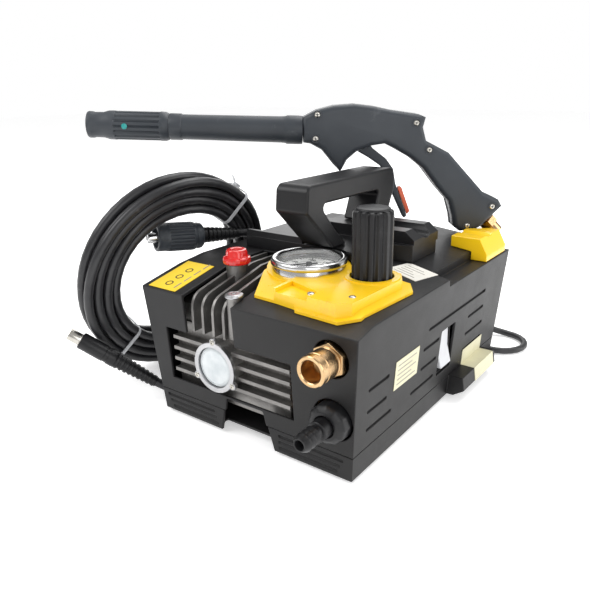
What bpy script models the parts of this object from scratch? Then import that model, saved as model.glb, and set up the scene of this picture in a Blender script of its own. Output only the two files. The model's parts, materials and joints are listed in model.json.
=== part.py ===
"""Portable pressure washer: motor and plunger pump in a moulded case, with its gun, hose and lead.

Metres, +Z up. Everything is placed in the machine's own frame (an empty): X runs along the front
face, Y from the front face to the back, Z up from the surface that the machine stands on.
"""
import math

import bmesh
import bpy
from mathutils import Matrix, Vector

# ------------------------------------------------------------------ driving dimensions
GAP = 0.0003                    # clearance between pieces that touch
MACHINE_AT = (0.0703, 0.0079)   # machine frame's place under the whole model's box centre

HALF_WIDTH = 0.118              # case, at the front top edge
HALF_LENGTH = 0.1615
FRONT_TOP = 0.132               # height of the front top edge
PLATEAU = 0.148                 # height of the level top
SLOPE_END = -0.085              # where the sloping front part of the top meets the level part
TAPER_X = 0.0095                # how much narrower the case is at the floor, each side
TAPER_Y = 0.009
WALL = 0.003
SEAM = 0.026                    # joint of tray and cover
SKIRT = 0.003                   # lowest edge of the tray
DECK = (0.0100, 0.0125)         # the tray's floor plate
SHOULDER_Y = 0.0                # behind this the right top edge is lower
RIDGE_X = 0.030                 # right of this the top falls towards the edge
SHOULDER_FRONT = 0.1365
SHOULDER_REAR = 0.1300

MOTOR_X, MOTOR_Z = -0.036, 0.070    # axis of motor and crankshaft, along Y
STATOR_RADIUS = 0.052
STATOR_Y = (0.0100, 0.1150)
SHAFT_RADIUS = 0.0075
ECCENTRIC = 0.006               # half of the plungers' stroke
ECCENTRIC_RADIUS = 0.012
PLUNGER_Y = (-0.115, -0.080, -0.045)
PLUNGER_RADIUS = 0.007
PLUNGER_X = (MOTOR_X + ECCENTRIC_RADIUS + 2 * ECCENTRIC + 0.0006, 0.058)

GAUGE = (0.012, -0.074)         # centres seen from above
KNOB = (0.075, -0.069)
OIL_NECK = (-0.050, -0.103)
VENT_PLUG = (-0.0140, -0.1480)
OUTLET = (0.0930, 0.1105)       # x and z on the front face
INLET = (0.0925, 0.0565)
SIGHT = (-0.0310, 0.0700)
SLOT_X = (-0.065, -0.0072)      # cooling slot in the top
SLOT_END = -0.045
FIN_X = (-0.0595, -0.0470, -0.0345, -0.0220)
FIN_THICKNESS = 0.0028
WINDOW_X = (-0.092, 0.053)      # opening in the front face
WINDOW_Z = (0.042, 0.095)

ROCKER = (0.0125, 0.0615)       # y and z of the power rocker in the right side
ROCKER_PIVOT_X = 0.1040
ROCKER_OFF = math.radians(-8.0)

GUN_AT = (-0.0768, 0.0410, 0.2620)  # where barrel and gun body meet
GUN_YAW = math.radians(37.0)
GUN_DROOP = math.radians(2.4)
SHELL = 0.0165                  # thickness of each gun half
BARREL_LENGTH = 0.1415
NOZZLE_LENGTH = 0.0865

HOSE = 0.0095                   # high pressure hose, outside diameter
COIL_AT = (-0.1714, -0.0706, 0.1156)
COIL_AZIMUTH = math.radians(-10.65)
COIL_LEAN = math.radians(-16.73)
COIL_RADII = (0.074, 0.115)
COIL_THICKNESS = 0.034

LEAD = 0.0075                   # mains lead, outside diameter
GLAND = (0.075, 0.0190)         # x and z on the rear face
LEAD_COIL_AT = (0.004, 0.262)
LEAD_COIL_RADII = (0.0340, 0.0660)
LEAD_COIL_Z = (0.0005, 0.0320)

RIGHT = math.pi / 2
TURN = {"+z": (0, 0, 0), "-z": (math.pi, 0, 0), "+y": (-RIGHT, 0, 0), "-y": (RIGHT, 0, 0),
        "+x": (0, RIGHT, 0), "-x": (0, -RIGHT, 0)}

# ------------------------------------------------------------------ scene
for old in list(bpy.data.objects):
    bpy.data.objects.remove(old, do_unlink=True)

PARTS = bpy.data.collections.new("pressure_washer")
CUTTERS = bpy.data.collections.new("cutters")
for group in (PARTS, CUTTERS):
    bpy.context.scene.collection.children.link(group)

MACHINE = bpy.data.objects.new("machine_frame", None)
MACHINE.location = (MACHINE_AT[0], MACHINE_AT[1], 0)
GUN = bpy.data.objects.new("gun_frame", None)
GUN.location = GUN_AT
GUN.rotation_euler = (0, 0, GUN_YAW)
GUN.parent = MACHINE
for empty in (MACHINE, GUN):
    PARTS.objects.link(empty)


def material(name, colour, roughness, metallic=0.0):
    made = bpy.data.materials.new(name)
    made.use_nodes = True
    shader = made.node_tree.nodes["Principled BSDF"]
    shader.inputs["Base Color"].default_value = (*colour, 1.0)
    shader.inputs["Roughness"].default_value = roughness
    shader.inputs["Metallic"].default_value = metallic
    made.diffuse_color = (*colour, 1.0)
    return made


CHARCOAL = material("charcoal_plastic", (0.035, 0.035, 0.037), 0.55)
BLACK = material("black_plastic", (0.015, 0.015, 0.016), 0.5)
YELLOW = material("yellow_plastic", (0.85, 0.50, 0.02), 0.35)
RED = material("red_plastic", (0.75, 0.03, 0.02), 0.25)
ORANGE = material("orange_plastic", (0.85, 0.15, 0.05), 0.4)
WHITE = material("white_plastic", (0.80, 0.80, 0.80), 0.4)
GUN_GREY = material("gun_plastic", (0.045, 0.052, 0.060), 0.5)
RUBBER = material("rubber", (0.02, 0.02, 0.022), 0.7)
STEEL = material("steel", (0.62, 0.62, 0.62), 0.25, 1.0)
ALUMINIUM = material("cast_aluminium", (0.55, 0.55, 0.54), 0.45, 1.0)
BRASS = material("brass", (0.72, 0.45, 0.18), 0.25, 1.0)
COPPER = material("copper_winding", (0.60, 0.28, 0.14), 0.4, 1.0)
GLASS = material("clear_glass", (0.85, 0.88, 0.88), 0.05)


# ------------------------------------------------------------------ shape makers
def add(name, mesh, finish, at=(0, 0, 0), turn=(0, 0, 0), frame=None):
    """A part; without a finish it is a hidden cutter or a piece to be joined."""
    obj = bpy.data.objects.new(name, mesh)
    obj.location = at
    obj.rotation_euler = turn
    obj.parent = frame or MACHINE
    if finish:
        mesh.materials.append(finish)
        PARTS.objects.link(obj)
    else:
        obj.hide_render = True
        obj.display_type = "WIRE"
        CUTTERS.objects.link(obj)
    return obj


def box(name, x, y, z, finish=None, frame=None, at=(0, 0, 0), turn=(0, 0, 0)):
    """A block between the given pairs of coordinates, about its own origin `at`."""
    form = bmesh.new()
    bmesh.ops.create_cube(form, size=1)
    for vert in form.verts:
        vert.co.x = x[0] + (vert.co.x + 0.5) * (x[1] - x[0])
        vert.co.y = y[0] + (vert.co.y + 0.5) * (y[1] - y[0])
        vert.co.z = z[0] + (vert.co.z + 0.5) * (z[1] - z[0])
    mesh = bpy.data.meshes.new(name)
    form.to_mesh(mesh)
    form.free()
    return add(name, mesh, finish, at, turn, frame)


def rod(name, radius, span, at, axis="+z", finish=None, sides=24, frame=None, end=None, phase=0.0):
    """A cylinder or cone from span[0] to span[1] along the axis through `at`."""
    form = bmesh.new()
    length = span[1] - span[0]
    bmesh.ops.create_cone(form, cap_ends=True, segments=sides, depth=length,
                          radius1=radius, radius2=radius if end is None else end)
    bmesh.ops.rotate(form, verts=form.verts, matrix=Matrix.Rotation(phase, 3, "Z"))
    bmesh.ops.translate(form, verts=form.verts, vec=(0, 0, span[0] + length / 2))
    mesh = bpy.data.meshes.new(name)
    form.to_mesh(mesh)
    form.free()
    obj = add(name, mesh, finish, at, TURN[axis], frame)
    mesh.shade_smooth()
    mesh.set_sharp_from_angle(angle=math.radians(35))
    return obj


def turned(name, profile, at, axis="+z", finish=None, steps=24, ring=False, frame=None, turn=None):
    """A profile of (radius, height) points, top to bottom down the outside, spun about its axis."""
    mesh = bpy.data.meshes.new(name)
    count = len(profile)
    edges = [(i, i + 1) for i in range(count - 1)]
    if ring:
        edges.append((count - 1, 0))
    mesh.from_pydata([(r, 0, h) for r, h in profile], edges, [])
    obj = add(name, mesh, finish, at, TURN[axis] if turn is None else turn, frame)
    spin = obj.modifiers.new("spin", "SCREW")
    spin.steps = spin.render_steps = steps
    spin.use_merge_vertices = True
    spin.merge_threshold = 0.00001
    spin.use_smooth_shade = False
    return obj


def ring(name, inner, outer, span, at, axis="+z", finish=None, steps=24, frame=None):
    profile = [(outer, span[1]), (outer, span[0]), (inner, span[0]), (inner, span[1])]
    return turned(name, profile, at, axis, finish, steps, ring=True, frame=frame)


PLANES = {"xy": Matrix.Identity(4),
          "xz": Matrix(((1, 0, 0, 0), (0, 0, -1, 0), (0, 1, 0, 0), (0, 0, 0, 1))),
          "yz": Matrix(((0, 0, 1, 0), (1, 0, 0, 0), (0, 1, 0, 0), (0, 0, 0, 1)))}


def plate(name, outline, plane, span, finish=None, frame=None, at=(0, 0, 0), turn=(0, 0, 0)):
    """A flat outline in the named plane, extruded across it over `span`."""
    curve = bpy.data.curves.new(name + "_outline", "CURVE")
    curve.dimensions = "2D"
    curve.fill_mode = "BOTH"
    curve.extrude = (span[1] - span[0]) / 2
    spline = curve.splines.new("POLY")
    spline.points.add(len(outline) - 1)
    for point, (a, b) in zip(spline.points, outline):
        point.co = (a, b, 0, 1)
    spline.use_cyclic_u = True
    draft = bpy.data.objects.new(name + "_draft", curve)
    CUTTERS.objects.link(draft)
    mesh = solid_of(draft, name)
    middle = (span[0] + span[1]) / 2
    if plane == "xz":
        middle = -middle
    mesh.transform(PLANES[plane] @ Matrix.Translation((0, 0, middle)))
    return add(name, mesh, finish, at, turn, frame)


def solid_of(draft, name):
    """The closed mesh of a curve object, which is removed."""
    bpy.context.view_layer.update()
    mesh = bpy.data.meshes.new_from_object(draft.evaluated_get(bpy.context.evaluated_depsgraph_get()))
    mesh.name = name
    form = bmesh.new()
    form.from_mesh(mesh)
    bmesh.ops.remove_doubles(form, verts=form.verts, dist=0.00001)
    bmesh.ops.recalc_face_normals(form, faces=form.faces)
    form.to_mesh(mesh)
    form.free()
    mesh.materials.clear()
    bpy.data.objects.remove(draft, do_unlink=True)
    return mesh


def combine(target, operation, others):
    for other in others:
        step = target.modifiers.new(operation.lower() + "_" + other.name, "BOOLEAN")
        step.operation = operation
        step.solver = "EXACT"
        step.object = other
    return target


def cut(target, *others):
    return combine(target, "DIFFERENCE", others)


def join(target, *others):
    return combine(target, "UNION", others)


def keep(target, *others):
    return combine(target, "INTERSECT", others)


def arc(centre, radius, start, stop, steps):
    """Points on an arc, angles in degrees."""
    made = []
    for i in range(steps + 1):
        angle = math.radians(start + (stop - start) * i / steps)
        made.append((centre[0] + radius * math.cos(angle), centre[1] + radius * math.sin(angle)))
    return made


def smooth_route(points, spacing):
    """A smooth curve through the route's points (Catmull-Rom), read at even spacing."""
    knots = [Vector(p) for p in points]
    knots = [2 * knots[0] - knots[1]] + knots + [2 * knots[-1] - knots[-2]]
    fine = []
    for a, b, c, d in zip(knots, knots[1:], knots[2:], knots[3:]):
        for i in range(40):
            t = i / 40
            fine.append(0.5 * ((2 * b) + (c - a) * t + (2 * a - 5 * b + 4 * c - d) * t ** 2
                               + (3 * b - a - 3 * c + d) * t ** 3))
    fine.append(knots[-2])
    total = sum((q - p).length for p, q in zip(fine, fine[1:]))
    count = max(2, round(total / spacing))
    made = [fine[0]]
    walked = 0.0
    for p, q in zip(fine, fine[1:]):
        step = (q - p).length
        while len(made) < count and walked + step >= total * len(made) / count:
            made.append(p.lerp(q, (total * len(made) / count - walked) / step))
        walked += step
    return made + [fine[-1]]


def tube(name, route, diameter, finish, detail=2):
    """A round tube along a smooth route with straight first and last steps; the curve stays a curve."""
    curve = bpy.data.curves.new(name, "CURVE")
    curve.dimensions = "3D"
    curve.bevel_depth = diameter / 2
    curve.bevel_resolution = detail
    curve.use_fill_caps = True
    points = [Vector(route[0])] + smooth_route(route[1:-1], 2.2 * diameter) + [Vector(route[-1])]
    spline = curve.splines.new("POLY")
    spline.points.add(len(points) - 1)
    for point, place in zip(spline.points, points):
        point.co = (*place, 1)
    curve.materials.append(finish)
    obj = bpy.data.objects.new(name, curve)
    obj.parent = MACHINE
    PARTS.objects.link(obj)
    return obj


# ------------------------------------------------------------------ case
def taper(amount, z):
    return amount * (1 - z / FRONT_TOP)


def side_outline(low, inset=0.0, high=None):
    """The case seen from its side, in (y, z), with its wall moved in by `inset`."""
    foot = HALF_LENGTH - taper(TAPER_Y, low) - inset
    edge = HALF_LENGTH - inset
    if high is not None:
        rim = HALF_LENGTH - taper(TAPER_Y, high) - inset
        return [(-foot, low), (foot, low), (rim, high), (-rim, high)]
    return [(-foot, low), (foot, low), (edge, FRONT_TOP - inset), (edge - 0.010, PLATEAU - inset),
            (SLOPE_END, PLATEAU - inset), (-edge, FRONT_TOP - inset)]


def front_outline(low, inset=0.0, high=None):
    """The case seen from the front, in (x, z)."""
    foot = HALF_WIDTH - taper(TAPER_X, low) - inset
    edge = HALF_WIDTH - inset
    if high is not None:
        rim = HALF_WIDTH - taper(TAPER_X, high) - inset
        return [(-foot, low), (foot, low), (rim, high), (-rim, high)]
    lid = PLATEAU + 0.01
    return [(-foot, low), (foot, low), (edge, FRONT_TOP - inset), (edge, SHOULDER_FRONT - inset),
            (RIDGE_X, PLATEAU - inset), (RIDGE_X, lid), (-edge + 0.006, lid),
            (-edge + 0.006, PLATEAU - inset), (-edge, FRONT_TOP + 0.010 - inset), (-edge, FRONT_TOP - inset)]


def top_height(x):
    """Height of the top, behind its sloping front part."""
    return PLATEAU - max(0.0, x - RIDGE_X) * (PLATEAU - SHOULDER_FRONT) / (HALF_WIDTH - RIDGE_X)


def case_form(name, low, inset, finish=None, high=None):
    """The tapered body of the case as the meeting of its side and front outlines."""
    wide, deep = HALF_WIDTH + 0.02, HALF_LENGTH + 0.02
    form = plate(name, side_outline(low, inset, high), "yz", (-wide, wide), finish)
    front = plate(name + "_front", front_outline(low, inset, high), "xz", (-deep, deep))
    return keep(form, front)


def base_tray():
    tray = case_form("base_tray", SKIRT, 0, CHARCOAL, high=SEAM)
    above = case_form("tray_above", DECK[1], WALL, high=SEAM + 0.02)
    below = case_form("tray_below", SKIRT - 0.004, WALL, high=DECK[0])
    bulge_outline = [(0.100, 0.0045), (0.116, 0.0045), (0.1275, 0.012), (0.1255, 0.026), (0.100, 0.026)]
    bulge = plate("tray_bulge", bulge_outline, "xz", (0.030, 0.118))
    arch_outline = [(-0.034, -0.001), (0.030, -0.001), (0.020, 0.041), (-0.024, 0.041)]
    arch = plate("tray_arch", arch_outline, "xz", (-0.170, -0.146))
    cut(join(tray, bulge), above, below, arch)
    cut(tray, rod("gland_hole", 0.0060, (0.140, 0.170), (GLAND[0], 0, GLAND[1]), "+y"))
    for row in range(3):
        z = 0.0205 - 0.0060 * row
        reach = 0.003 * row
        for side, x in (("left", (-0.103 + reach, -0.040 + reach / 2)), ("right", (0.035, 0.101 - reach))):
            groove = box(f"tray_groove_{side}_{row}", x, (-0.165, -0.1522), (z - 0.0014, z + 0.0014))
            cut(tray, groove)
    return tray


def upper_cover():
    cover = case_form("upper_cover", SEAM + GAP, 0, CHARCOAL)
    inside = case_form("cover_inside", SEAM - 0.004, WALL)
    shoulder = box("cover_shoulder", (0.099, 0.130), (SHOULDER_Y, 0.170), (SHOULDER_REAR, 0.160))
    shoulder_inside = box("inside_shoulder", (0.094, 0.130), (SHOULDER_Y - WALL, 0.170),
                          (SHOULDER_REAR - WALL, 0.160))
    cut(inside, shoulder_inside)
    cut(cover, shoulder, inside)
    cut(cover,
        box("window", WINDOW_X, (-0.170, -0.146), WINDOW_Z),
        box("slot", SLOT_X, (-0.170, SLOT_END), (WINDOW_Z[1] - 0.001, 0.160)),
        plate("cover_arch", [(-0.027, 0.020), (0.023, 0.020), (0.019, 0.0395), (-0.023, 0.0395)],
              "xz", (-0.170, -0.146)),
        rod("outlet_hole", 0.0160, (0.140, 0.170), (OUTLET[0], 0, OUTLET[1]), "-y"),
        rod("inlet_hole", 0.0186, (0.140, 0.170), (INLET[0], 0, INLET[1]), "-y"),
        rod("gauge_well", 0.0345, (0.120, 0.160), (*GAUGE, 0)),
        rod("knob_well", 0.0195, (0.120, 0.160), (*KNOB, 0)),
        box("rocker_window", (0.100, 0.130), (ROCKER[0] - 0.0155, ROCKER[0] + 0.0155),
            (ROCKER[1] - 0.0235, ROCKER[1] + 0.0235)))
    for row in range(6):
        z = 0.052 + 0.011 * row
        cut(cover, box(f"rear_vent_{row}", (-0.090, 0.018), (0.150, 0.170), (z, z + 0.0045)))
    for row, (front, back, z) in enumerate(SIDE_GROOVES):
        x = HALF_WIDTH - taper(TAPER_X, z) - 0.0020
        cut(cover, box(f"side_groove_{row}", (x, 0.130), (front, back), (z - 0.0014, z + 0.0014)))
    return cover


SIDE_GROOVES = [(-0.034, 0.102, 0.098), (0.062, 0.102, 0.080), (0.060, 0.106, 0.061), (0.058, 0.108, 0.043),
                (-0.041, -0.008, 0.080), (-0.042, -0.010, 0.061), (-0.058, -0.012, 0.043),
                (-0.138, -0.105, 0.081), (-0.137, -0.106, 0.061), (-0.136, -0.095, 0.044)]


def feet():
    for name, x, y in (("foot_front_left", -0.088, -0.125), ("foot_front_right", 0.088, -0.125),
                       ("foot_rear_left", -0.088, 0.125), ("foot_rear_right", 0.088, 0.125)):
        profile = [(0, DECK[0] - GAP), (0.0110, DECK[0] - GAP), (0.0125, 0.0015), (0.0115, 0), (0, 0)]
        turned(name, profile, (x, y, 0), finish=RUBBER, steps=16)


# ------------------------------------------------------------------ handle and yellow trims
def handle():
    outline = [(-0.090, -0.043), (0.054, -0.043), (0.054, 0.002), (0.074, 0.010), (0.074, 0.062), (0.062, 0.076),
               (-0.078, 0.076), (-0.090, 0.062)]
    base = plate("handle_base", outline, "xy", (top_height(0.074) - 0.001, 0.1600), BLACK)
    under = plate("base_under", [(-0.100, 0.120), (0.090, 0.120), (0.090, top_height(0.090) + GAP),
                                 (RIDGE_X, PLATEAU + GAP), (-0.100, PLATEAU + GAP)], "xz", (-0.060, 0.090))
    cradle_outline = [(-0.036, 0.155), (0.074, 0.155), (0.074, 0.164), (0.064, 0.172), (-0.030, 0.172)]
    cradle = plate("cradle", cradle_outline, "xz", (0.012, 0.066))
    trough = rod("cradle_trough", 0.0125, (0.030, 0.100), (0, 0.040, 0.1745), "+x")
    lip = plate("front_lip", [(-0.043, 0.156), (-0.037, 0.156), (-0.037, 0.166), (-0.0415, 0.166)], "yz",
                (-0.090, -0.0190))
    join(base, cradle, lip)
    cut(base, under, trough, rod("gauge_clearance", 0.0375, (0.140, 0.180), (*GAUGE, 0)))
    for row in range(3):
        x = -0.028 + 0.013 * row
        cut(base, box(f"base_slot_{row}", (x, x + 0.005), (-0.024, -0.002), (0.140, 0.180)))
    grip = [(-0.0780, 0.2245), (-0.0830, 0.2200), (-0.0850, 0.2000), (-0.0420, 0.1603), (-0.0180, 0.1603),
            (-0.0400, 0.1800), (-0.0580, 0.2000), (-0.0560, 0.2050), (0.0380, 0.2040), (0.0420, 0.2000),
            (0.0300, 0.1725), (0.0600, 0.1725), (0.0740, 0.2000), (0.0740, 0.2190), (0.0690, 0.2235)]
    plate("carry_handle", grip, "yz", (-0.0180, 0.0180), BLACK)


def front_trim():
    """The yellow moulding around the gauge and the knob: a flange, a raised block and two collars."""
    flange_outline = [(0.002, -0.140), (0.046, -0.1425), (0.050, -0.1475), (0.092, -0.1500), (0.106, -0.138),
                      (0.110, -0.060), (0.100, -0.045), (0.060, -0.046), (0.000, -0.046), (-0.020, -0.062),
                      (-0.020, -0.100)]
    trim = plate("front_trim", flange_outline, "xy", (0.120, 0.1505), YELLOW)
    keep(trim, case_form("trim_skin", SEAM, -0.0025))
    block_outline = [(0.024, -0.1410), (0.050, -0.1440), (0.088, -0.1460), (0.098, -0.138), (0.1005, -0.062),
                     (0.092, -0.0475), (0.052, -0.0475), (0.020, -0.100)]
    block = plate("trim_block", block_outline, "xy", (0.1320, 0.1500))
    gauge_collar = rod("gauge_collar", 0.0385, (0.1320, 0.1600), (*GAUGE, 0), sides=32)
    keep(gauge_collar, case_form("collar_skin", SEAM, -0.0045))
    join(trim, block, gauge_collar, rod("knob_collar", 0.0245, (0.1320, 0.1510), (*KNOB, 0)))
    notch = plate("trim_step", [(0.026, -0.155), (0.060, -0.155), (0.060, -0.130), (0.026, -0.118)], "xy",
                  (0.1465, 0.160))
    cut(trim, case_form("trim_under", SEAM, -GAP), notch, rod("gauge_bore", 0.0336, (0.120, 0.160), (*GAUGE, 0), sides=32),
        rod("knob_bore", 0.0195, (0.120, 0.160), (*KNOB, 0)),
        box("trim_behind", (-0.05, 0.15), (-0.0435, 0.02), (0.12, 0.17)))


def rear_trim():
    outline = [(0.0765, 0.1535), (0.0765, top_height(0.0765) + GAP), (0.0993, top_height(0.0993) + GAP),
               (0.0993, SHOULDER_REAR + GAP),
               (0.1165, SHOULDER_REAR + GAP), (0.1165, 0.1380), (0.1080, 0.1535)]
    trim = plate("rear_trim", outline, "xz", (0.0945, 0.1500), YELLOW)
    scoop = rod("trim_scoop", 0.0150, (0.060, 0.130), (0, 0.1200, 0.1660), "+x")
    grip_room = box("grip_room", (0.1500, 0.2400), (-SHELL - 0.0007, 0.0400), (-0.1250, -0.0500), frame=GUN)
    cut(trim, scoop, grip_room)


# ------------------------------------------------------------------ pump
def fin_outline():
    """A top fin in (y, z): along the slot, round the front edge and down the face."""
    nose = arc((-0.1400, 0.1190), 0.0150, 180, 105, 5)
    return [(-0.1550, 0.0970), (-0.1440, 0.0970), (-0.1440, 0.1150), (-0.0480, 0.1150), (-0.0480, PLATEAU - 0.0008),
            (SLOPE_END - 0.001, PLATEAU - 0.0008)] + list(reversed(nose))


def crankcase():
    case = box("pump_crankcase", (-0.0905, 0.0435), (-0.1460, -0.0080), (0.0300, 0.1000), ALUMINIUM)
    join(case,
         box("crankcase_lid", (-0.0900, -0.0040), (-0.1440, -0.0080), (0.0980, 0.1180)),
         box("crankcase_foot_left", (-0.0850, -0.0650), (-0.1400, -0.0200), (DECK[1] + GAP, 0.0320)),
         box("crankcase_foot_right", (0.0150, 0.0350), (-0.1400, -0.0200), (DECK[1] + GAP, 0.0320)),
         rod("sight_boss", 0.0232, (0.1450, 0.1570), (SIGHT[0], 0, SIGHT[1]), "-y"),
         rod("filler_neck", 0.0085, (0.1170, 0.1500), (*OIL_NECK, 0), sides=16, end=0.0105),
         rod("vent_boss", 0.0065, (0.0990, 0.1365), (*VENT_PLUG, 0), sides=16))
    for row, x in enumerate(FIN_X):
        fin = plate(f"top_fin_{row}", fin_outline(), "yz", (x - FIN_THICKNESS / 2, x + FIN_THICKNESS / 2))
        cut(fin, rod(f"gauge_relief_{row}", 0.0400, (0.100, 0.170), (*GAUGE, 0)))
        join(case, fin)
    for row in range(4):
        z = 0.0505 + 0.0110 * row
        join(case, box(f"front_fin_{row}", (-0.0880, 0.0490), (-0.1545, -0.1440), (z, z + 0.0034)))
    cut(case, rod("crank_cavity", 0.0260, (-0.1350, 0.0), (MOTOR_X, 0, MOTOR_Z), "+y"))
    for row, y in enumerate(PLUNGER_Y):
        cut(case, rod(f"plunger_bore_{row}", PLUNGER_RADIUS + GAP, (MOTOR_X, 0.060), (0, y, MOTOR_Z), "+x", sides=16))
    return case


def sight_glass():
    at = (SIGHT[0], 0, SIGHT[1])
    frame = ring("sight_frame", 0.0192, 0.0238, (0.1573, 0.1612), at, "-y", STEEL, 32)
    for angle in (90, 210, 330):
        x, z = arc(SIGHT, 0.0245, angle, angle, 1)[0]
        join(frame, rod(f"sight_lug_{angle}", 0.0036, (0.1573, 0.1612), (x, 0, z), "-y", sides=12))
    rod("sight_lens", 0.0189, (0.1573, 0.1597), at, "-y", GLASS, 32)


def pump_head():
    head = box("pump_head", (0.0438, 0.1060), (-0.1437, -0.0140), (0.0470, 0.1010), BRASS)
    join(head, rod("regulator_boss", 0.0150, (0.1000, 0.1180), (*KNOB, 0), sides=16),
         box("outlet_block", (0.0760, 0.1080), (-0.1437, -0.1150), (0.0960, 0.1250)))
    for row, y in enumerate(PLUNGER_Y):
        cut(head, rod(f"head_bore_{row}", PLUNGER_RADIUS + GAP, (0.040, 0.066), (0, y, MOTOR_Z), "+x", sides=16))
    at = (OUTLET[0], 0, OUTLET[1])
    fitting = rod("outlet_fitting", 0.0152, (0.1440, 0.1645), at, "-y", BRASS, sides=6, phase=RIGHT / 3)
    join(fitting, rod("outlet_spigot", 0.0125, (0.1635, 0.1870), at, "-y", sides=28))
    cut(fitting, rod("outlet_bore", 0.0090, (0.1680, 0.1900), at, "-y", sides=28))
    at = (INLET[0], 0, INLET[1])
    nut = rod("inlet_nut", 0.0170, (0.1480, 0.1650), at, "-y", BLACK, sides=12)
    join(nut, rod("inlet_nut_shoulder", 0.0170, (0.1648, 0.1690), at, "-y", sides=12, end=0.0125))
    cut(nut, rod("nut_bore", 0.0088, (0.1400, 0.1800), at, "-y", sides=24))
    barb = [(0, 0.2010), (0.0052, 0.2010), (0.0062, 0.1995), (0.0078, 0.1950), (0.0062, 0.1949), (0.0078, 0.1890),
            (0.0062, 0.1889), (0.0078, 0.1830), (0.0062, 0.1829), (0.0062, 0.1790), (0.0085, 0.1780),
            (0.0085, 0.1440), (0, 0.1440)]
    tail = turned("inlet_barb", barb, at, "-y", BLACK, 20)
    cut(tail, rod("barb_bore", 0.0042, (0.1700, 0.2100), at, "-y", sides=16))


def regulator():
    """Unloader spindle and its tall fluted knob."""
    rod("regulator_spindle", 0.0048, (0.1183, 0.1650), (*KNOB, 0), finish=STEEL, sides=16)
    low, high = 0.1395, 0.2105
    profile = [(0, high), (0.0130, high), (0.0140, high - 0.0015), (0.0150, high - 0.0060), (0.0178, high - 0.0075),
               (0.0180, high - 0.0120), (0.0180, low), (0, low)]
    knob = turned("pressure_knob", [(r, h - low) for r, h in profile], (*KNOB, low), finish=BLACK, steps=28)
    bore = rod("knob_socket", 0.0052, (-0.001, 0.028), (*KNOB, low), sides=16)
    cut(knob, bore)
    for count in range(14):
        angle = 2 * math.pi * count / 14
        spot = (KNOB[0] + 0.0192 * math.cos(angle), KNOB[1] + 0.0192 * math.sin(angle), low)
        cut(knob, rod(f"flute_{count}", 0.0024, (0.002, 0.0635), spot, sides=8))


def gauge():
    at = (*GAUGE, 0)
    low = 0.1335
    cup = [(0, 0.1500), (0.0314, 0.1500), (0.0314, 0.1535), (0.0330, 0.1535), (0.0330, low), (0, low)]
    turned("gauge_case", cup, at, finish=STEEL, steps=36)
    turned("gauge_bezel", [(0.0330, 0.1600), (0.0350, 0.1580), (0.0350, 0.1538), (0.0308, 0.1538), (0.0308, 0.1575),
                           (0.0288, 0.1582), (0.0288, 0.1592), (0.0300, 0.1600)], at, finish=STEEL, steps=36,
           ring=True)
    rod("gauge_lens", 0.0304, (0.1560, 0.1572), at, finish=GLASS, sides=36)
    needle = plate("gauge_needle", [(-0.0014, -0.0080), (0.0014, -0.0080), (0.0003, 0.0240), (-0.0003, 0.0240)], "xy",
                   (0.1522, 0.1530), BLACK, at=(*GAUGE, 0), turn=(0, 0, math.radians(135)))
    join(needle, rod("needle_hub", 0.0028, (0.1510, 0.1538), at, sides=12))
    stem = rod("gauge_stem", 0.0055, (0.1075, low - GAP), at, finish=BRASS, sides=12)
    join(stem, rod("gauge_pipe", 0.0048, (GAUGE[0] - 0.0048, KNOB[0] - 0.016), (0, GAUGE[1], 0.1075), "+x", sides=12))


def oil_parts():
    cap = [(0, 0.0140), (0.0085, 0.0140), (0.0100, 0.0125), (0.0115, 0.0080), (0.0128, 0.0065), (0.0128, 0.0018),
           (0.0110, 0), (0, 0)]
    turned("oil_cap", cap, (*OIL_NECK, 0.1503), finish=RED, steps=24)
    plug = [(0, 0.0030), (0.0055, 0.0030), (0.0082, 0.0012), (0.0082, 0), (0, 0)]
    turned("vent_plug", plug, (*VENT_PLUG, 0.1368), finish=STEEL, steps=20)


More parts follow.
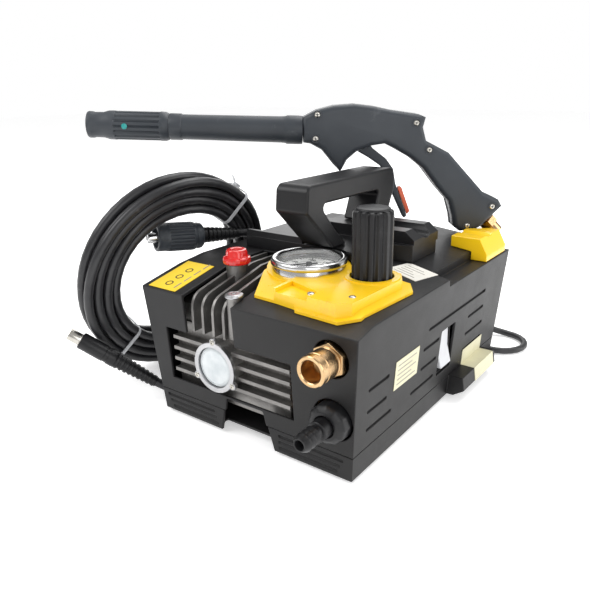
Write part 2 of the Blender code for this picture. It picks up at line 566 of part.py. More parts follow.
# ------------------------------------------------------------------ drive
def drive():
    at = (MOTOR_X, 0, MOTOR_Z)
    ring("motor_stator", 0.0312, STATOR_RADIUS, STATOR_Y, at, "+y", COPPER, 32)
    ring("motor_flange", 0.0164, STATOR_RADIUS, (-0.0077, 0.0097), at, "+y", ALUMINIUM, 32)
    ring("motor_end_bell", 0.0164, STATOR_RADIUS, (0.1153, 0.1250), at, "+y", ALUMINIUM, 32)
    ring("bearing_front", SHAFT_RADIUS + GAP, 0.0161, (-0.0040, 0.0060), at, "+y", STEEL)
    ring("bearing_rear", SHAFT_RADIUS + GAP, 0.0161, (0.1160, 0.1240), at, "+y", STEEL)
    rotor = [(0, 0.1440), (SHAFT_RADIUS, 0.1440), (SHAFT_RADIUS, 0.1100), (0.0305, 0.1100), (0.0305, 0.0150),
             (SHAFT_RADIUS, 0.0150), (SHAFT_RADIUS, -0.0100), (0, -0.0100)]
    turned("motor_rotor", rotor, at, "+y", STEEL, 24)
    shaft = rod("crankshaft", SHAFT_RADIUS - 0.001, (-0.1340, -0.0103), at, "+y", STEEL, sides=20)
    for row, y in enumerate(PLUNGER_Y):
        angle = 2 * math.pi * row / 3
        spot = (MOTOR_X + ECCENTRIC * math.cos(angle), 0, MOTOR_Z + ECCENTRIC * math.sin(angle))
        join(shaft, rod(f"eccentric_{row}", ECCENTRIC_RADIUS, (y - 0.008, y + 0.008), spot, "+y", sides=24))
    fan = ring("cooling_fan", SHAFT_RADIUS + GAP, 0.0140, (0.1280, 0.1420), at, "+y", BLACK, 24)
    for count in range(7):
        join(fan, box(f"fan_blade_{count}", (0.0120, 0.0450), (0.1290, 0.1410), (-0.0011, 0.0011), at=at,
                      turn=(0, 2 * math.pi * count / 7, 0)))
    cradle = box("motor_cradle", (-0.0700, -0.0020), (0.0300, 0.0950), (DECK[1] + GAP, 0.0300), BLACK)
    cut(cradle, rod("cradle_seat", STATOR_RADIUS + GAP, (0.0, 0.120), at, "+y", sides=32))
    for row, y in enumerate(PLUNGER_Y):
        middle = (PLUNGER_X[0] + PLUNGER_X[1]) / 2
        half = (PLUNGER_X[1] - PLUNGER_X[0]) / 2
        profile = [(0, half), (0.0055, half), (PLUNGER_RADIUS, half - 0.0015), (PLUNGER_RADIUS, 0.0015 - half),
                   (0.0055, -half), (0, -half)]
        turned(f"plunger_{row + 1}", profile, (middle, y, MOTOR_Z), "+x", STEEL, 16)


def electrics():
    rod("start_capacitor", 0.0180, (0.0300, 0.1000), (0.0560, 0, 0.0330), "+y", BLACK, sides=20)
    y, z = ROCKER
    frame = box("rocker_frame", (0.0960, 0.1100), (y - 0.0145, y + 0.0145), (z - 0.0225, z + 0.0225), BLACK)
    cut(frame, box("rocker_well", (0.0990, 0.1200), (y - 0.0125, y + 0.0125), (z - 0.0205, z + 0.0205)))
    face = [(0.0000, -0.0165), (0.0075, -0.0180), (0.0055, 0.0), (0.0075, 0.0180), (0.0000, 0.0165), (-0.0030, 0.0)]
    plate("power_rocker", face, "xz", (-0.0115, 0.0115), WHITE, at=(ROCKER_PIVOT_X, y, z), turn=(0, ROCKER_OFF, 0))
    sleeve = rod("mains_gland", 0.0057, (0.1480, 0.1560), (GLAND[0], 0, GLAND[1]), "+y", RUBBER, sides=16)
    join(sleeve, rod("gland_flange", 0.0090, (0.1552, 0.1585), (GLAND[0], 0, GLAND[1]), "+y", sides=16),
         rod("gland_relief", 0.0070, (0.1580, 0.1830), (GLAND[0], 0, GLAND[1]), "+y", sides=16, end=0.0050))


# ------------------------------------------------------------------ gun, in its own frame
SHELL_OUTLINE = [(0.0000, 0.0124), (0.0140, 0.0194), (0.0320, 0.0236), (0.0536, 0.0250), (0.0750, 0.0222),
                 (0.0930, 0.0181), (0.1220, 0.0135), (0.1295, 0.0103), (0.1270, 0.0000), (0.1310, -0.0138),
                 (0.1560, -0.0269), (0.1770, -0.0490), (0.1964, -0.0702), (0.2138, -0.0783), (0.2178, -0.0852),
                 (0.2096, -0.0940), (0.1950, -0.1087), (0.1884, -0.1120), (0.1726, -0.1127), (0.1654, -0.1070),
                 (0.1635, -0.0956), (0.1580, -0.0785), (0.1448, -0.0638), (0.1282, -0.0427), (0.1146, -0.0316),
                 (0.0955, -0.0206), (0.0867, -0.0162), (0.0726, -0.0181), (0.0564, -0.0242), (0.0467, -0.0326),
                 (0.0413, -0.0423), (0.0390, -0.0450), (0.0369, -0.0423), (0.0314, -0.0367), (0.0193, -0.0215),
                 (0.0074, -0.0149), (0.0000, -0.0137)]
TRIGGER_PIVOT = (0.0600, -0.0130)
LATCH_PIVOT = (0.1060, -0.0655)
VALVE_Z = 0.0040
PIPE_START, PIPE_END = (0.1180, -0.0100), (0.2045, -0.1026)


def about(outline, pivot):
    return [(x - pivot[0], z - pivot[1]) for x, z in outline]


def elbow(name, radius):
    """The short slanted pipe between the valve and the pipe in the grip."""
    reach = (0.0960, VALVE_Z), (PIPE_START[0] + 0.0012, PIPE_START[1] - 0.0008)
    slant = math.atan2(reach[1][0] - reach[0][0], reach[1][1] - reach[0][1])
    piece = rod(name, radius, (0, math.dist(*reach)), (reach[0][0], 0, reach[0][1]), sides=12, frame=GUN)
    piece.rotation_euler = (0, slant, 0)
    return piece


def gun_shells():
    pipe_turn = (0, math.atan2(PIPE_END[0] - PIPE_START[0], PIPE_END[1] - PIPE_START[1]), 0)
    pipe_length = math.dist(PIPE_START, PIPE_END)
    start = (PIPE_START[0], 0, PIPE_START[1])
    for name, span in (("gun_shell_left", (-SHELL, -GAP / 2)), ("gun_shell_right", (GAP / 2, SHELL))):
        shell = plate(name, SHELL_OUTLINE, "xz", span, GUN_GREY, GUN)
        bore = rod(name + "_pipe_room", 0.0050, (0, 0.1400), start, sides=12, frame=GUN)
        bore.rotation_euler = pipe_turn
        cut(shell, bore, elbow(name + "_elbow_room", 0.0050),
            rod(name + "_valve_room", 0.0090, (0.0070, 0.1080), (0, 0, VALVE_Z), "+x", sides=16, frame=GUN),
            box(name + "_trigger_room", (0.0480, 0.1120), (-0.0072, 0.0072), (-0.0600, 0.0020), frame=GUN))
    valve = rod("gun_valve", 0.0086, (0.0100, 0.1000), (0, 0, VALVE_Z), "+x", BRASS, 16, GUN)
    pipe = rod("gun_pipe", 0.0044, (-0.0010, pipe_length + 0.0010), start, sides=12, frame=GUN)
    nut = rod("gun_inlet_nut", 0.0105, (pipe_length + 0.0004, pipe_length + 0.0080), start, sides=6, frame=GUN)
    thread = rod("gun_inlet_thread", 0.0080, (pipe_length + 0.0070, pipe_length + 0.0190), start, sides=16, frame=GUN)
    for piece in (pipe, nut, thread):
        piece.rotation_euler = pipe_turn
    join(valve, elbow("gun_elbow", 0.0044), pipe, nut, thread)


def gun_controls():
    lever = [(0.0540, -0.0120), (0.0560, -0.0080), (0.0600, -0.0068), (0.0660, -0.0090), (0.0750, -0.0215),
             (0.0900, -0.0330), (0.0980, -0.0440), (0.1010, -0.0600), (0.1150, -0.0965), (0.1110, -0.0985),
             (0.0945, -0.0640), (0.0905, -0.0490), (0.0830, -0.0400), (0.0700, -0.0310), (0.0580, -0.0240)]
    plate("trigger", about(lever, TRIGGER_PIVOT), "xz", (-0.0060, 0.0060), GUN_GREY, GUN,
          at=(TRIGGER_PIVOT[0], 0, TRIGGER_PIVOT[1]))
    latch = arc(LATCH_PIVOT, 0.0023, 20, 200, 5) + [(0.1149, -0.0945), (0.1181, -0.0910)]
    plate("safety_latch", about(latch, LATCH_PIVOT), "xz", (-0.0040, 0.0040), ORANGE, GUN,
          at=(LATCH_PIVOT[0], 0, LATCH_PIVOT[1]))


def lance():
    start = (0, 0, -0.0015)
    turn = (0, GUN_DROOP - RIGHT, 0)
    top = 0.0010 + BARREL_LENGTH
    barrel = [(0, top), (0.0130, top), (0.0141, 0.0010), (0, 0.0010)]
    turned("lance_barrel", barrel, start, finish=GUN_GREY, steps=20, frame=GUN, turn=turn)
    low = top + GAP
    high = low + NOZZLE_LENGTH
    nozzle = [(0, high - 0.0220), (0.0095, high - 0.0180), (0.0105, high), (0.0138, high), (0.0138, high - 0.0040),
              (0.0130, high - 0.0060), (0.0150, low + 0.0200), (0.0150, low + 0.0040), (0.0135, low), (0, low)]
    turned("nozzle_head", nozzle, start, finish=GUN_GREY, steps=24, frame=GUN, turn=turn)
    tip = [(0, high - 0.0120), (0.0030, high - 0.0120), (0.0045, high - 0.0160), (0.0045, high - 0.0195),
           (0, high - 0.0212)]
    turned("nozzle_tip", tip, start, finish=BRASS, steps=12, frame=GUN, turn=turn)


# ------------------------------------------------------------------ hose, stood against the left wall
COIL_TURN = (0, RIGHT - COIL_LEAN, COIL_AZIMUTH)


def coil_place(down, back, out):
    """A place by the coil: below and behind its centre, and out towards the case."""
    frame = Matrix.Rotation(COIL_TURN[2], 3, "Z") @ Matrix.Rotation(COIL_TURN[1], 3, "Y")
    return Vector(COIL_AT) + frame @ Vector((down, back, out))


def coil_round(angle, radius, out):
    """The same by angle: 0 at the bottom, 90 at the back, 180 at the top."""
    return coil_place(radius * math.cos(math.radians(angle)), radius * math.sin(math.radians(angle)), out)


def ring_solid(name, radii, half, corner, at, turn, finish, steps):
    inner, outer = radii
    profile = [(outer - corner, half), (outer, half - corner), (outer, corner - half), (outer - corner, -half),
               (inner + corner, -half), (inner, corner - half), (inner, half - corner), (inner + corner, half)]
    turned(name, profile, at, finish=finish, steps=steps, ring=True, turn=turn)


def along(start, end):
    """Rotation that points +Z from start to end."""
    return (Vector(end) - Vector(start)).to_track_quat("Z", "Y").to_euler()


def hose():
    ring_solid("hose_coil", COIL_RADII, COIL_THICKNESS / 2, 0.008, COIL_AT, COIL_TURN, RUBBER, 40)
    plug_end(Vector((-0.2050, -0.1890, 0.0720)), Vector((-0.1400, -0.1370, 0.0145)))
    swivel_end(coil_place(-0.045, -0.037, -0.0030), coil_place(-0.045, 0.0640, 0.0232))


def plug_end(tip, tail):
    """Screw-in end of the hose: bright tube, body, ribbed relief, then the hose along the floor."""
    turn = along(tail, tip)
    length = (tip - tail).length
    turned("hose_plug", [(0, length), (0.0062, length), (0.0062, length - 0.0130), (0.0088, length - 0.0130),
                         (0.0088, 0.0500), (0.0060, 0), (0, 0)], tail, finish=BLACK, steps=16, turn=turn)
    leave = (tail - tip).normalized()
    route = [tail + 0.0006 * leave, tail + 0.0046 * leave, (-0.1310, -0.1285, 0.0085), (-0.1255, -0.1170, 0.0058),
             (-0.1250, -0.1030, 0.0052), (-0.1300, -0.0890, 0.0052), (-0.1390, -0.0760, 0.0070),
             (-0.1500, -0.0660, 0.0110), (-0.1600, -0.0570, 0.0160), coil_round(14, 0.094, 0.0260),
             coil_round(28, 0.094, 0.0226), coil_round(40, 0.094, 0.0223)]
    tube("hose_tail_plug", route, HOSE, RUBBER)


def swivel_end(tip, tail):
    """Machine end of the hose: nipple in a big swivel nut, a ribbed relief, then the hose into the coil."""
    turn = along(tail, tip)
    length = (tip - tail).length
    turned("hose_nipple", [(0, length), (0.0055, length), (0.0055, length - 0.0595), (0.0085, length - 0.0595),
                           (0.0060, 0), (0, 0)], tail, finish=STEEL, steps=16, turn=turn)
    ring("hose_nut", 0.0058, 0.0152, (length - 0.0590, length - 0.0090), tail, finish=GUN_GREY, steps=16)
    nut = bpy.data.objects["hose_nut"]
    nut.rotation_euler = turn
    leave = (tail - tip).normalized()
    route = [tail + 0.0006 * leave, tail + 0.0060 * leave, coil_place(-0.0400, 0.0868, 0.0232),
             coil_place(-0.0262, 0.1024, 0.0226), coil_round(92, 0.1080, 0.0223), coil_round(84, 0.1080, 0.0222)]
    tube("hose_tail_nut", route, HOSE, RUBBER)


# ------------------------------------------------------------------ mains lead, coiled behind the case
def mains_lead():
    rest = LEAD / 2 + 0.0003
    coil_x, coil_y = LEAD_COIL_AT
    outer = LEAD_COIL_RADII[1]
    route = [(GLAND[0], 0.1836, GLAND[1]), (GLAND[0], 0.1900, GLAND[1] - 0.0005),
             (0.0790, 0.2100, 0.0120), (0.0900, 0.2210, 0.0070), (0.1050, 0.2250, rest), (0.1200, 0.2210, rest),
             (0.1310, 0.2100, rest), (0.1350, 0.1950, rest), (0.1310, 0.1800, rest), (0.1200, 0.1690, rest),
             (0.1050, 0.1650, rest), (0.0850, 0.1660, rest), (0.0600, 0.1740, rest), (0.0350, 0.1880, rest),
             (0.0225, 0.1930, rest)]
    tube("lead_tail_case", route, LEAD, BLACK)
    half = (LEAD_COIL_Z[1] - LEAD_COIL_Z[0]) / 2
    ring_solid("lead_coil", LEAD_COIL_RADII, half, 0.005, (coil_x, coil_y, LEAD_COIL_Z[0] + half), (0, 0, 0), BLACK,
               32)
    plug_at = Vector((-0.0725, 0.3000, 0.0190))
    start = (coil_x - outer - 0.0045, coil_y - 0.020, rest)
    turned("mains_plug", [(0, 0.0620), (0.0120, 0.0620), (0.0180, 0.0560), (0.0180, 0.0380), (0.0110, 0.0300),
                          (0.0055, 0), (0, 0)], plug_at, "+y", BLACK, 20)
    plug = bpy.data.objects["mains_plug"]
    for side in (-0.0095, 0.0095):
        join(plug, rod(f"plug_pin_{side}", 0.0024, (0.0610, 0.0810), plug_at + Vector((side, 0, 0)), "+y", sides=8))
    tube("lead_tail_plug", [start, (-0.0695, 0.2580, 0.0047), (-0.0715, 0.2760, 0.0110),
                            plug_at + Vector((0, -0.0060, 0)), plug_at + Vector((0, -0.0006, 0))], LEAD, BLACK)


base_tray()
upper_cover()
feet()
handle()
front_trim()
rear_trim()
crankcase()
sight_glass()
pump_head()
regulator()
gauge()
oil_parts()
drive()
electrics()
gun_shells()
gun_controls()
lance()
hose()
mains_lead()
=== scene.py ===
"""Looks of the pressure washer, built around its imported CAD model.

Metres, +Z up. The machine's own frame has X along the front face, Y to the back and Z up; `spot`
turns its coordinates into the row frame.
"""

import json
import math

import bmesh
import bpy
from mathutils import Matrix, Vector

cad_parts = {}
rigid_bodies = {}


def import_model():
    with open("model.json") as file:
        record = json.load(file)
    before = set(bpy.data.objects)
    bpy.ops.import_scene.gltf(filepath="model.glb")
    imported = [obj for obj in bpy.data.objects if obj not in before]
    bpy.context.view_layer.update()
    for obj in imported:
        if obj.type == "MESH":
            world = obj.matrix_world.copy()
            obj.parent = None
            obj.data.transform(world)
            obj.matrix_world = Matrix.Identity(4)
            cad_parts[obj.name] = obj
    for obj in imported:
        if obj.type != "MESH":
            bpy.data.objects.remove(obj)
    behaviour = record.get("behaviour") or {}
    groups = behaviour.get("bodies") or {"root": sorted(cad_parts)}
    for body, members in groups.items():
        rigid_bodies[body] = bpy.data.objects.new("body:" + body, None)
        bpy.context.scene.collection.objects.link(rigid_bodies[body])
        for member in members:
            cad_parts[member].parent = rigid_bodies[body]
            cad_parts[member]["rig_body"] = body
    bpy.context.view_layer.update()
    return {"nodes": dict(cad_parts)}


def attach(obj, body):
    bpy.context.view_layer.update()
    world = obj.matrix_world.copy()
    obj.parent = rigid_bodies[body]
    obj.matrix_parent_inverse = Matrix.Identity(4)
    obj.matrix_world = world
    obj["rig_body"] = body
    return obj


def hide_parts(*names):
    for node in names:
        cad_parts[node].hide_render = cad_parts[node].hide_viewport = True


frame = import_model()

MACHINE_AT = Vector((0.0703, 0.0079, 0.0))
CAMERA_AT = (0.3315, -0.5197, 0.31)
CAMERA_PITCH, CAMERA_YAW, CAMERA_ROLL = 18.877, 37.02, -0.97   # degrees: down, to the left, tilt
SENSOR, LENS = 36.0, 38.08              # millimetres
AMBIENT, FLOOR_GLOW = 0.6, 0.42
ROOT = "machine"


def spot(x, y, z):
    return MACHINE_AT + Vector((x, y, z))


# ------------------------------------------------------------------ camera, floor and light
def camera():
    pitch, yaw, roll = (math.radians(a) for a in (CAMERA_PITCH, CAMERA_YAW, CAMERA_ROLL))
    ahead = Vector((-math.sin(yaw) * math.cos(pitch), math.cos(yaw) * math.cos(pitch), -math.sin(pitch)))
    level = Vector((math.cos(yaw), math.sin(yaw), 0))
    over = level.cross(ahead)
    right = level * math.cos(roll) + over * math.sin(roll)
    up = over * math.cos(roll) - level * math.sin(roll)
    data = bpy.data.cameras.new("camera")
    data.sensor_width = SENSOR
    data.lens = LENS
    data.clip_start = 0.01
    seen = bpy.data.objects.new("camera", data)
    turn = Matrix((right, up, -ahead)).transposed().to_4x4()
    seen.matrix_world = Matrix.Translation(spot(*CAMERA_AT)) @ turn
    bpy.context.scene.collection.objects.link(seen)
    bpy.context.scene.camera = seen


def area_light(name, at, size, power):
    data = bpy.data.lights.new(name, "AREA")
    data.shape = "RECTANGLE"
    data.size, data.size_y = size
    data.energy = power
    lamp = bpy.data.objects.new(name, data)
    lamp.location = at
    lamp.rotation_euler = (Vector((0.0, 0.0, 0.1)) - Vector(at)).to_track_quat("-Z", "Y").to_euler()
    bpy.context.scene.collection.objects.link(lamp)


def studio():
    bpy.context.scene.view_settings.view_transform = "Standard"
    world = bpy.data.worlds.new("studio")
    world.use_nodes = True
    back = world.node_tree.nodes["Background"]
    back.inputs["Color"].default_value = (1.0, 1.0, 1.0, 1)
    back.inputs["Strength"].default_value = AMBIENT
    seen = world.node_tree.nodes.new("ShaderNodeBackground")
    seen.inputs["Strength"].default_value = 1.0
    seen.inputs["Color"].default_value = (1.0, 1.0, 1.0, 1)
    rays = world.node_tree.nodes.new("ShaderNodeLightPath")
    mix = world.node_tree.nodes.new("ShaderNodeMixShader")
    links = world.node_tree.links
    links.new(rays.outputs["Is Camera Ray"], mix.inputs["Fac"])
    links.new(back.outputs["Background"], mix.inputs[1])
    links.new(seen.outputs["Background"], mix.inputs[2])
    links.new(mix.outputs["Shader"], world.node_tree.nodes["World Output"].inputs["Surface"])
    bpy.context.scene.world = world
    area_light("key", (-1.1, -1.3, 1.7), (1.6, 1.2), 26)
    area_light("front_fill", (1.3, -1.2, 0.8), (1.2, 1.0), 9)
    area_light("side_strip", (1.9, 0.9, 0.7), (0.8, 1.4), 14)
    area_light("overhead", (0.1, 0.7, 1.7), (1.8, 0.9), 22)
    area_light("rear_fill", (-1.0, 1.6, 1.0), (1.4, 1.0), 9)
    form = bmesh.new()
    bmesh.ops.create_grid(form, x_segments=1, y_segments=1, size=6.0)
    mesh = made_mesh(form, "floor")
    floor = bpy.data.objects.new("floor", mesh)
    floor.location = (0, 0, -0.0002)
    bpy.context.scene.collection.objects.link(floor)
    paper = surface("floor_paper", (0.93, 0.93, 0.93), 0.7, grain=(300, 0.02))
    glow = paper.node_tree.nodes["Principled BSDF"]
    glow.inputs["Emission Color"].default_value = (1.0, 1.0, 1.0, 1)
    glow.inputs["Emission Strength"].default_value = FLOOR_GLOW
    mesh.materials.append(paper)


# ------------------------------------------------------------------ materials
def surface(name, colour, roughness, metallic=0.0, grain=None, mottle=None, streak=None, scuff=None, coat=0.0,
            uneven=0.08, clear=0.0, sheen=0.5):
    """A procedural finish.

    grain: (scale, height) of a fine bump; mottle: (scale, second colour) of slow colour change;
    streak: (stretch along x, y, z, scale, height) of drawn or turned marks; scuff: (scale, colour)
    of sparse worn specks; uneven: how much the gloss varies; sheen: strength of its reflections;
    coat: strength of a clear coat; clear: how much of what is behind shows through.
    """
    made = bpy.data.materials.new(name)
    made.use_nodes = True
    tree = made.node_tree
    shader = tree.nodes["Principled BSDF"]
    shader.inputs["Metallic"].default_value = metallic
    shader.inputs["Base Color"].default_value = (*colour, 1)
    shader.inputs["Roughness"].default_value = roughness
    shader.inputs["Specular IOR Level"].default_value = sheen
    if coat:
        shader.inputs["Coat Weight"].default_value = coat
        shader.inputs["Coat Roughness"].default_value = 0.12
    if clear:
        shader.inputs["Alpha"].default_value = 1 - clear
    where = tree.nodes.new("ShaderNodeTexCoord").outputs["Object"]

    def noise(scale, detail=4.0, rough=0.6, source=where):
        node = tree.nodes.new("ShaderNodeTexNoise")
        node.inputs["Scale"].default_value = scale
        node.inputs["Detail"].default_value = detail
        node.inputs["Roughness"].default_value = rough
        tree.links.new(source, node.inputs["Vector"])
        return node.outputs["Fac"]

    def ramp(source, stops):
        node = tree.nodes.new("ShaderNodeValToRGB")
        for index, (place, tint) in enumerate(stops):
            stop = node.color_ramp.elements[index] if index < 2 else node.color_ramp.elements.new(place)
            stop.position = place
            stop.color = (*tint, 1)
        tree.links.new(source, node.inputs["Fac"])
        return node.outputs["Color"]

    tone = None
    if mottle:
        tone = ramp(noise(mottle[0]), [(0.35, colour), (0.68, mottle[1])])
    if scuff:
        mix = tree.nodes.new("ShaderNodeMix")
        mix.data_type = "RGBA"
        specks = ramp(noise(scuff[0], 8.0, 0.75), [(0.6, (0, 0, 0)), (0.72, (1, 1, 1))])
        tree.links.new(specks, mix.inputs["Factor"])
        mix.inputs["A"].default_value = (*colour, 1)
        if tone:
            tree.links.new(tone, mix.inputs["A"])
        mix.inputs["B"].default_value = (*scuff[1], 1)
        tone = mix.outputs["Result"]
    if tone:
        tree.links.new(tone, shader.inputs["Base Color"])
    if uneven:
        spread = tree.nodes.new("ShaderNodeMapRange")
        spread.inputs["To Min"].default_value = max(0.02, roughness - uneven)
        spread.inputs["To Max"].default_value = min(1.0, roughness + uneven)
        tree.links.new(noise(38.0, 6.0, 0.65), spread.inputs["Value"])
        tree.links.new(spread.outputs["Result"], shader.inputs["Roughness"])
    last = None
    for kind in (grain and (where, grain), streak and ("stretched", streak)):
        if not kind:
            continue
        source, values = kind
        scale, height = values[-2:]
        if source == "stretched":
            mapping = tree.nodes.new("ShaderNodeMapping")
            mapping.inputs["Scale"].default_value = values[:3]
            tree.links.new(where, mapping.inputs["Vector"])
            source = mapping.outputs["Vector"]
        bump = tree.nodes.new("ShaderNodeBump")
        bump.inputs["Strength"].default_value = 1.0
        bump.inputs["Distance"].default_value = height * 0.001
        tree.links.new(noise(scale, 3.0, 0.5, source), bump.inputs["Height"])
        if last:
            tree.links.new(last, bump.inputs["Normal"])
        last = bump.outputs["Normal"]
    if last:
        tree.links.new(last, shader.inputs["Normal"])
    return made


CHARCOAL = surface("charcoal_moulding", (0.01, 0.01, 0.011), 0.44, grain=(1400, 0.05),
                   mottle=(7, (0.014, 0.0135, 0.0135)), scuff=(16, (0.028, 0.027, 0.026)), sheen=0.25)
BLACK = surface("black_moulding", (0.007, 0.007, 0.008), 0.36, grain=(1700, 0.04),
                mottle=(11, (0.011, 0.011, 0.012)),
                scuff=(20, (0.026, 0.026, 0.028)), sheen=0.3)
YELLOW = surface("yellow_moulding", (0.9, 0.57, 0.008), 0.3, grain=(900, 0.03),
                 mottle=(9, (0.88, 0.51, 0.008)),
                 scuff=(26, (0.78, 0.43, 0.02)), coat=0.25)
RED = surface("red_cap", (0.68, 0.012, 0.01), 0.2, grain=(600, 0.02), mottle=(22, (0.55, 0.01, 0.01)),
              coat=0.5)
ORANGE = surface("orange_latch", (0.84, 0.17, 0.07), 0.34, grain=(900, 0.03), mottle=(40, (0.74, 0.12, 0.05)))
GUN_GREY = surface("gun_moulding", (0.028, 0.033, 0.04), 0.46, grain=(1500, 0.06),
                   mottle=(9, (0.04, 0.046, 0.054)),
                   scuff=(22, (0.07, 0.076, 0.084)), sheen=0.36)
RUBBER = surface("hose_rubber", (0.013, 0.013, 0.015), 0.34, grain=(1100, 0.05),
                 mottle=(30, (0.024, 0.024, 0.026)),
                 scuff=(55, (0.05, 0.05, 0.052)), sheen=0.42)
LEAD_SHEATH = surface("lead_sheath", (0.014, 0.014, 0.015), 0.44, grain=(1500, 0.04),
                      mottle=(30, (0.022, 0.022, 0.024)))
FOOT = surface("foot_rubber", (0.016, 0.016, 0.016), 0.75, grain=(900, 0.08), mottle=(30, (0.03, 0.03, 0.03)))
STEEL = surface("bright_steel", (0.66, 0.66, 0.66), 0.2, 1.0, grain=(700, 0.02), streak=(1, 1, 30, 160, 0.02),
                mottle=(14, (0.52, 0.52, 0.53)))
NICKEL = surface("nickel_plate", (0.6, 0.58, 0.54), 0.26, 1.0, grain=(800, 0.02),
                 mottle=(40, (0.44, 0.42, 0.38)))
SILVER_CAST = surface("silver_cast", (0.5, 0.5, 0.51), 0.34, 1.0, grain=(420, 0.1),
                      mottle=(50, (0.4, 0.4, 0.41)))
CAST = surface("cast_aluminium", (0.27, 0.26, 0.25), 0.46, 0.9, grain=(520, 0.22),
               mottle=(34, (0.17, 0.165, 0.16)),
               scuff=(60, (0.4, 0.4, 0.39)))
BRASS = surface("turned_brass", (0.6, 0.41, 0.22), 0.24, 1.0, streak=(1, 60, 1, 60, 0.05), grain=(500, 0.02),
                mottle=(45, (0.44, 0.28, 0.14)))
COPPER = surface("winding", (0.52, 0.22, 0.09), 0.36, 0.9, streak=(1, 1, 40, 90, 0.1),
                 mottle=(50, (0.36, 0.14, 0.06)))
WHITE = surface("white_nylon", (0.58, 0.59, 0.61), 0.42, grain=(900, 0.02), mottle=(30, (0.52, 0.53, 0.55)))
DIAL = surface("dial_card", (0.92, 0.92, 0.9), 0.55, grain=(800, 0.01), mottle=(20, (0.88, 0.88, 0.85)))
PALE_LENS = surface("oil_window", (0.6, 0.63, 0.64), 0.16, grain=(300, 0.02), mottle=(60, (0.46, 0.5, 0.52)),
                    coat=0.6)
GLASS = surface("gauge_glass", (0.9, 0.92, 0.92), 0.04, clear=0.95, uneven=0.0, grain=(60, 0.0005))
CREAM = surface("cream_label", (0.66, 0.63, 0.44), 0.5, grain=(700, 0.02), mottle=(28, (0.58, 0.55, 0.38)))
PAPER = surface("paper_label", (0.74, 0.72, 0.66), 0.55, grain=(500, 0.03), mottle=(30, (0.66, 0.64, 0.58)))
LABEL_YELLOW = surface("yellow_label", (0.86, 0.6, 0.03), 0.42, grain=(700, 0.02),
                       mottle=(24, (0.78, 0.52, 0.03)))
INK = surface("black_ink", (0.015, 0.015, 0.015), 0.5, grain=(700, 0.01), mottle=(40, (0.03, 0.03, 0.03)))
FADED = surface("faded_ink", (0.22, 0.21, 0.18), 0.5, grain=(700, 0.01), mottle=(40, (0.3, 0.28, 0.24)))
TEAL = surface("teal_inlay", (0.01, 0.3, 0.28), 0.35, grain=(700, 0.02), mottle=(40, (0.01, 0.22, 0.21)))


# ------------------------------------------------------------------ mesh makers
def made_mesh(form, name, sharp=None):
    """The bmesh as a mesh, shaded smoothly up to edges of `sharp` degrees if that is given."""
    mesh = bpy.data.meshes.new(name)
    form.to_mesh(mesh)
    form.free()
    if sharp:
        mesh.shade_smooth()
        mesh.set_sharp_from_angle(angle=math.radians(sharp))
    return mesh


def show(name, mesh, finish, body=ROOT, instead=()):
    """Adds a piece made in the row frame, riding on a body, in place of the named CAD nodes."""
    obj = bpy.data.objects.new(name, mesh)
    bpy.context.scene.collection.objects.link(obj)
    if finish:
        mesh.materials.clear()
        mesh.materials.append(finish)
    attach(obj, body)
    if instead:
        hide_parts(*instead)
    return obj


def evaluated(obj):
    """Applies an object's modifiers to its mesh."""
    bpy.context.view_layer.update()
    mesh = bpy.data.meshes.new_from_object(obj.evaluated_get(bpy.context.evaluated_depsgraph_get()))
    obj.modifiers.clear()
    obj.data = mesh
    return obj


def round_edges(obj, width, segments, clamp):
    """Rounds every edge sharper than 30 degrees, and shades the result smoothly."""
    obj.data.shade_smooth()
    bevel = obj.modifiers.new("edges", "BEVEL")
    bevel.width = width
    bevel.segments = segments
    bevel.limit_method = "ANGLE"
    bevel.angle_limit = math.radians(30)
    bevel.miter_outer = "MITER_ARC"
    bevel.use_clamp_overlap = clamp
    bevel.loop_slide = clamp
    normals = obj.modifiers.new("normals", "WEIGHTED_NORMAL")
    normals.keep_sharp = True
    normals.weight = 80
    return evaluated(obj)


def tidy_copy(node, whole=True):
    """A CAD node's mesh, ready to be rounded; `whole` joins the triangles of each flat face again."""
    form = bmesh.new()
    form.from_mesh(frame["nodes"][node].data)
    bmesh.ops.remove_doubles(form, verts=form.verts, dist=0.000005)
    if whole:
        bmesh.ops.dissolve_limit(form, angle_limit=math.radians(1.5), verts=form.verts, edges=form.edges)
        bmesh.ops.dissolve_degenerate(form, dist=0.00005, edges=form.edges)
    else:
        bmesh.ops.join_triangles(form, faces=form.faces, angle_face_threshold=math.radians(1),
                                 angle_shape_threshold=math.pi)
    return made_mesh(form, node + "_look")


def soften(node, width, finish, segments=3, whole=True):
    """The CAD node's own shape with rounded edges, shown in its place."""
    mesh = tidy_copy(node, whole)
    obj = show(node + "_look", mesh, finish, frame["nodes"][node]["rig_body"], (node,))
    return round_edges(obj, width, segments, clamp=whole)


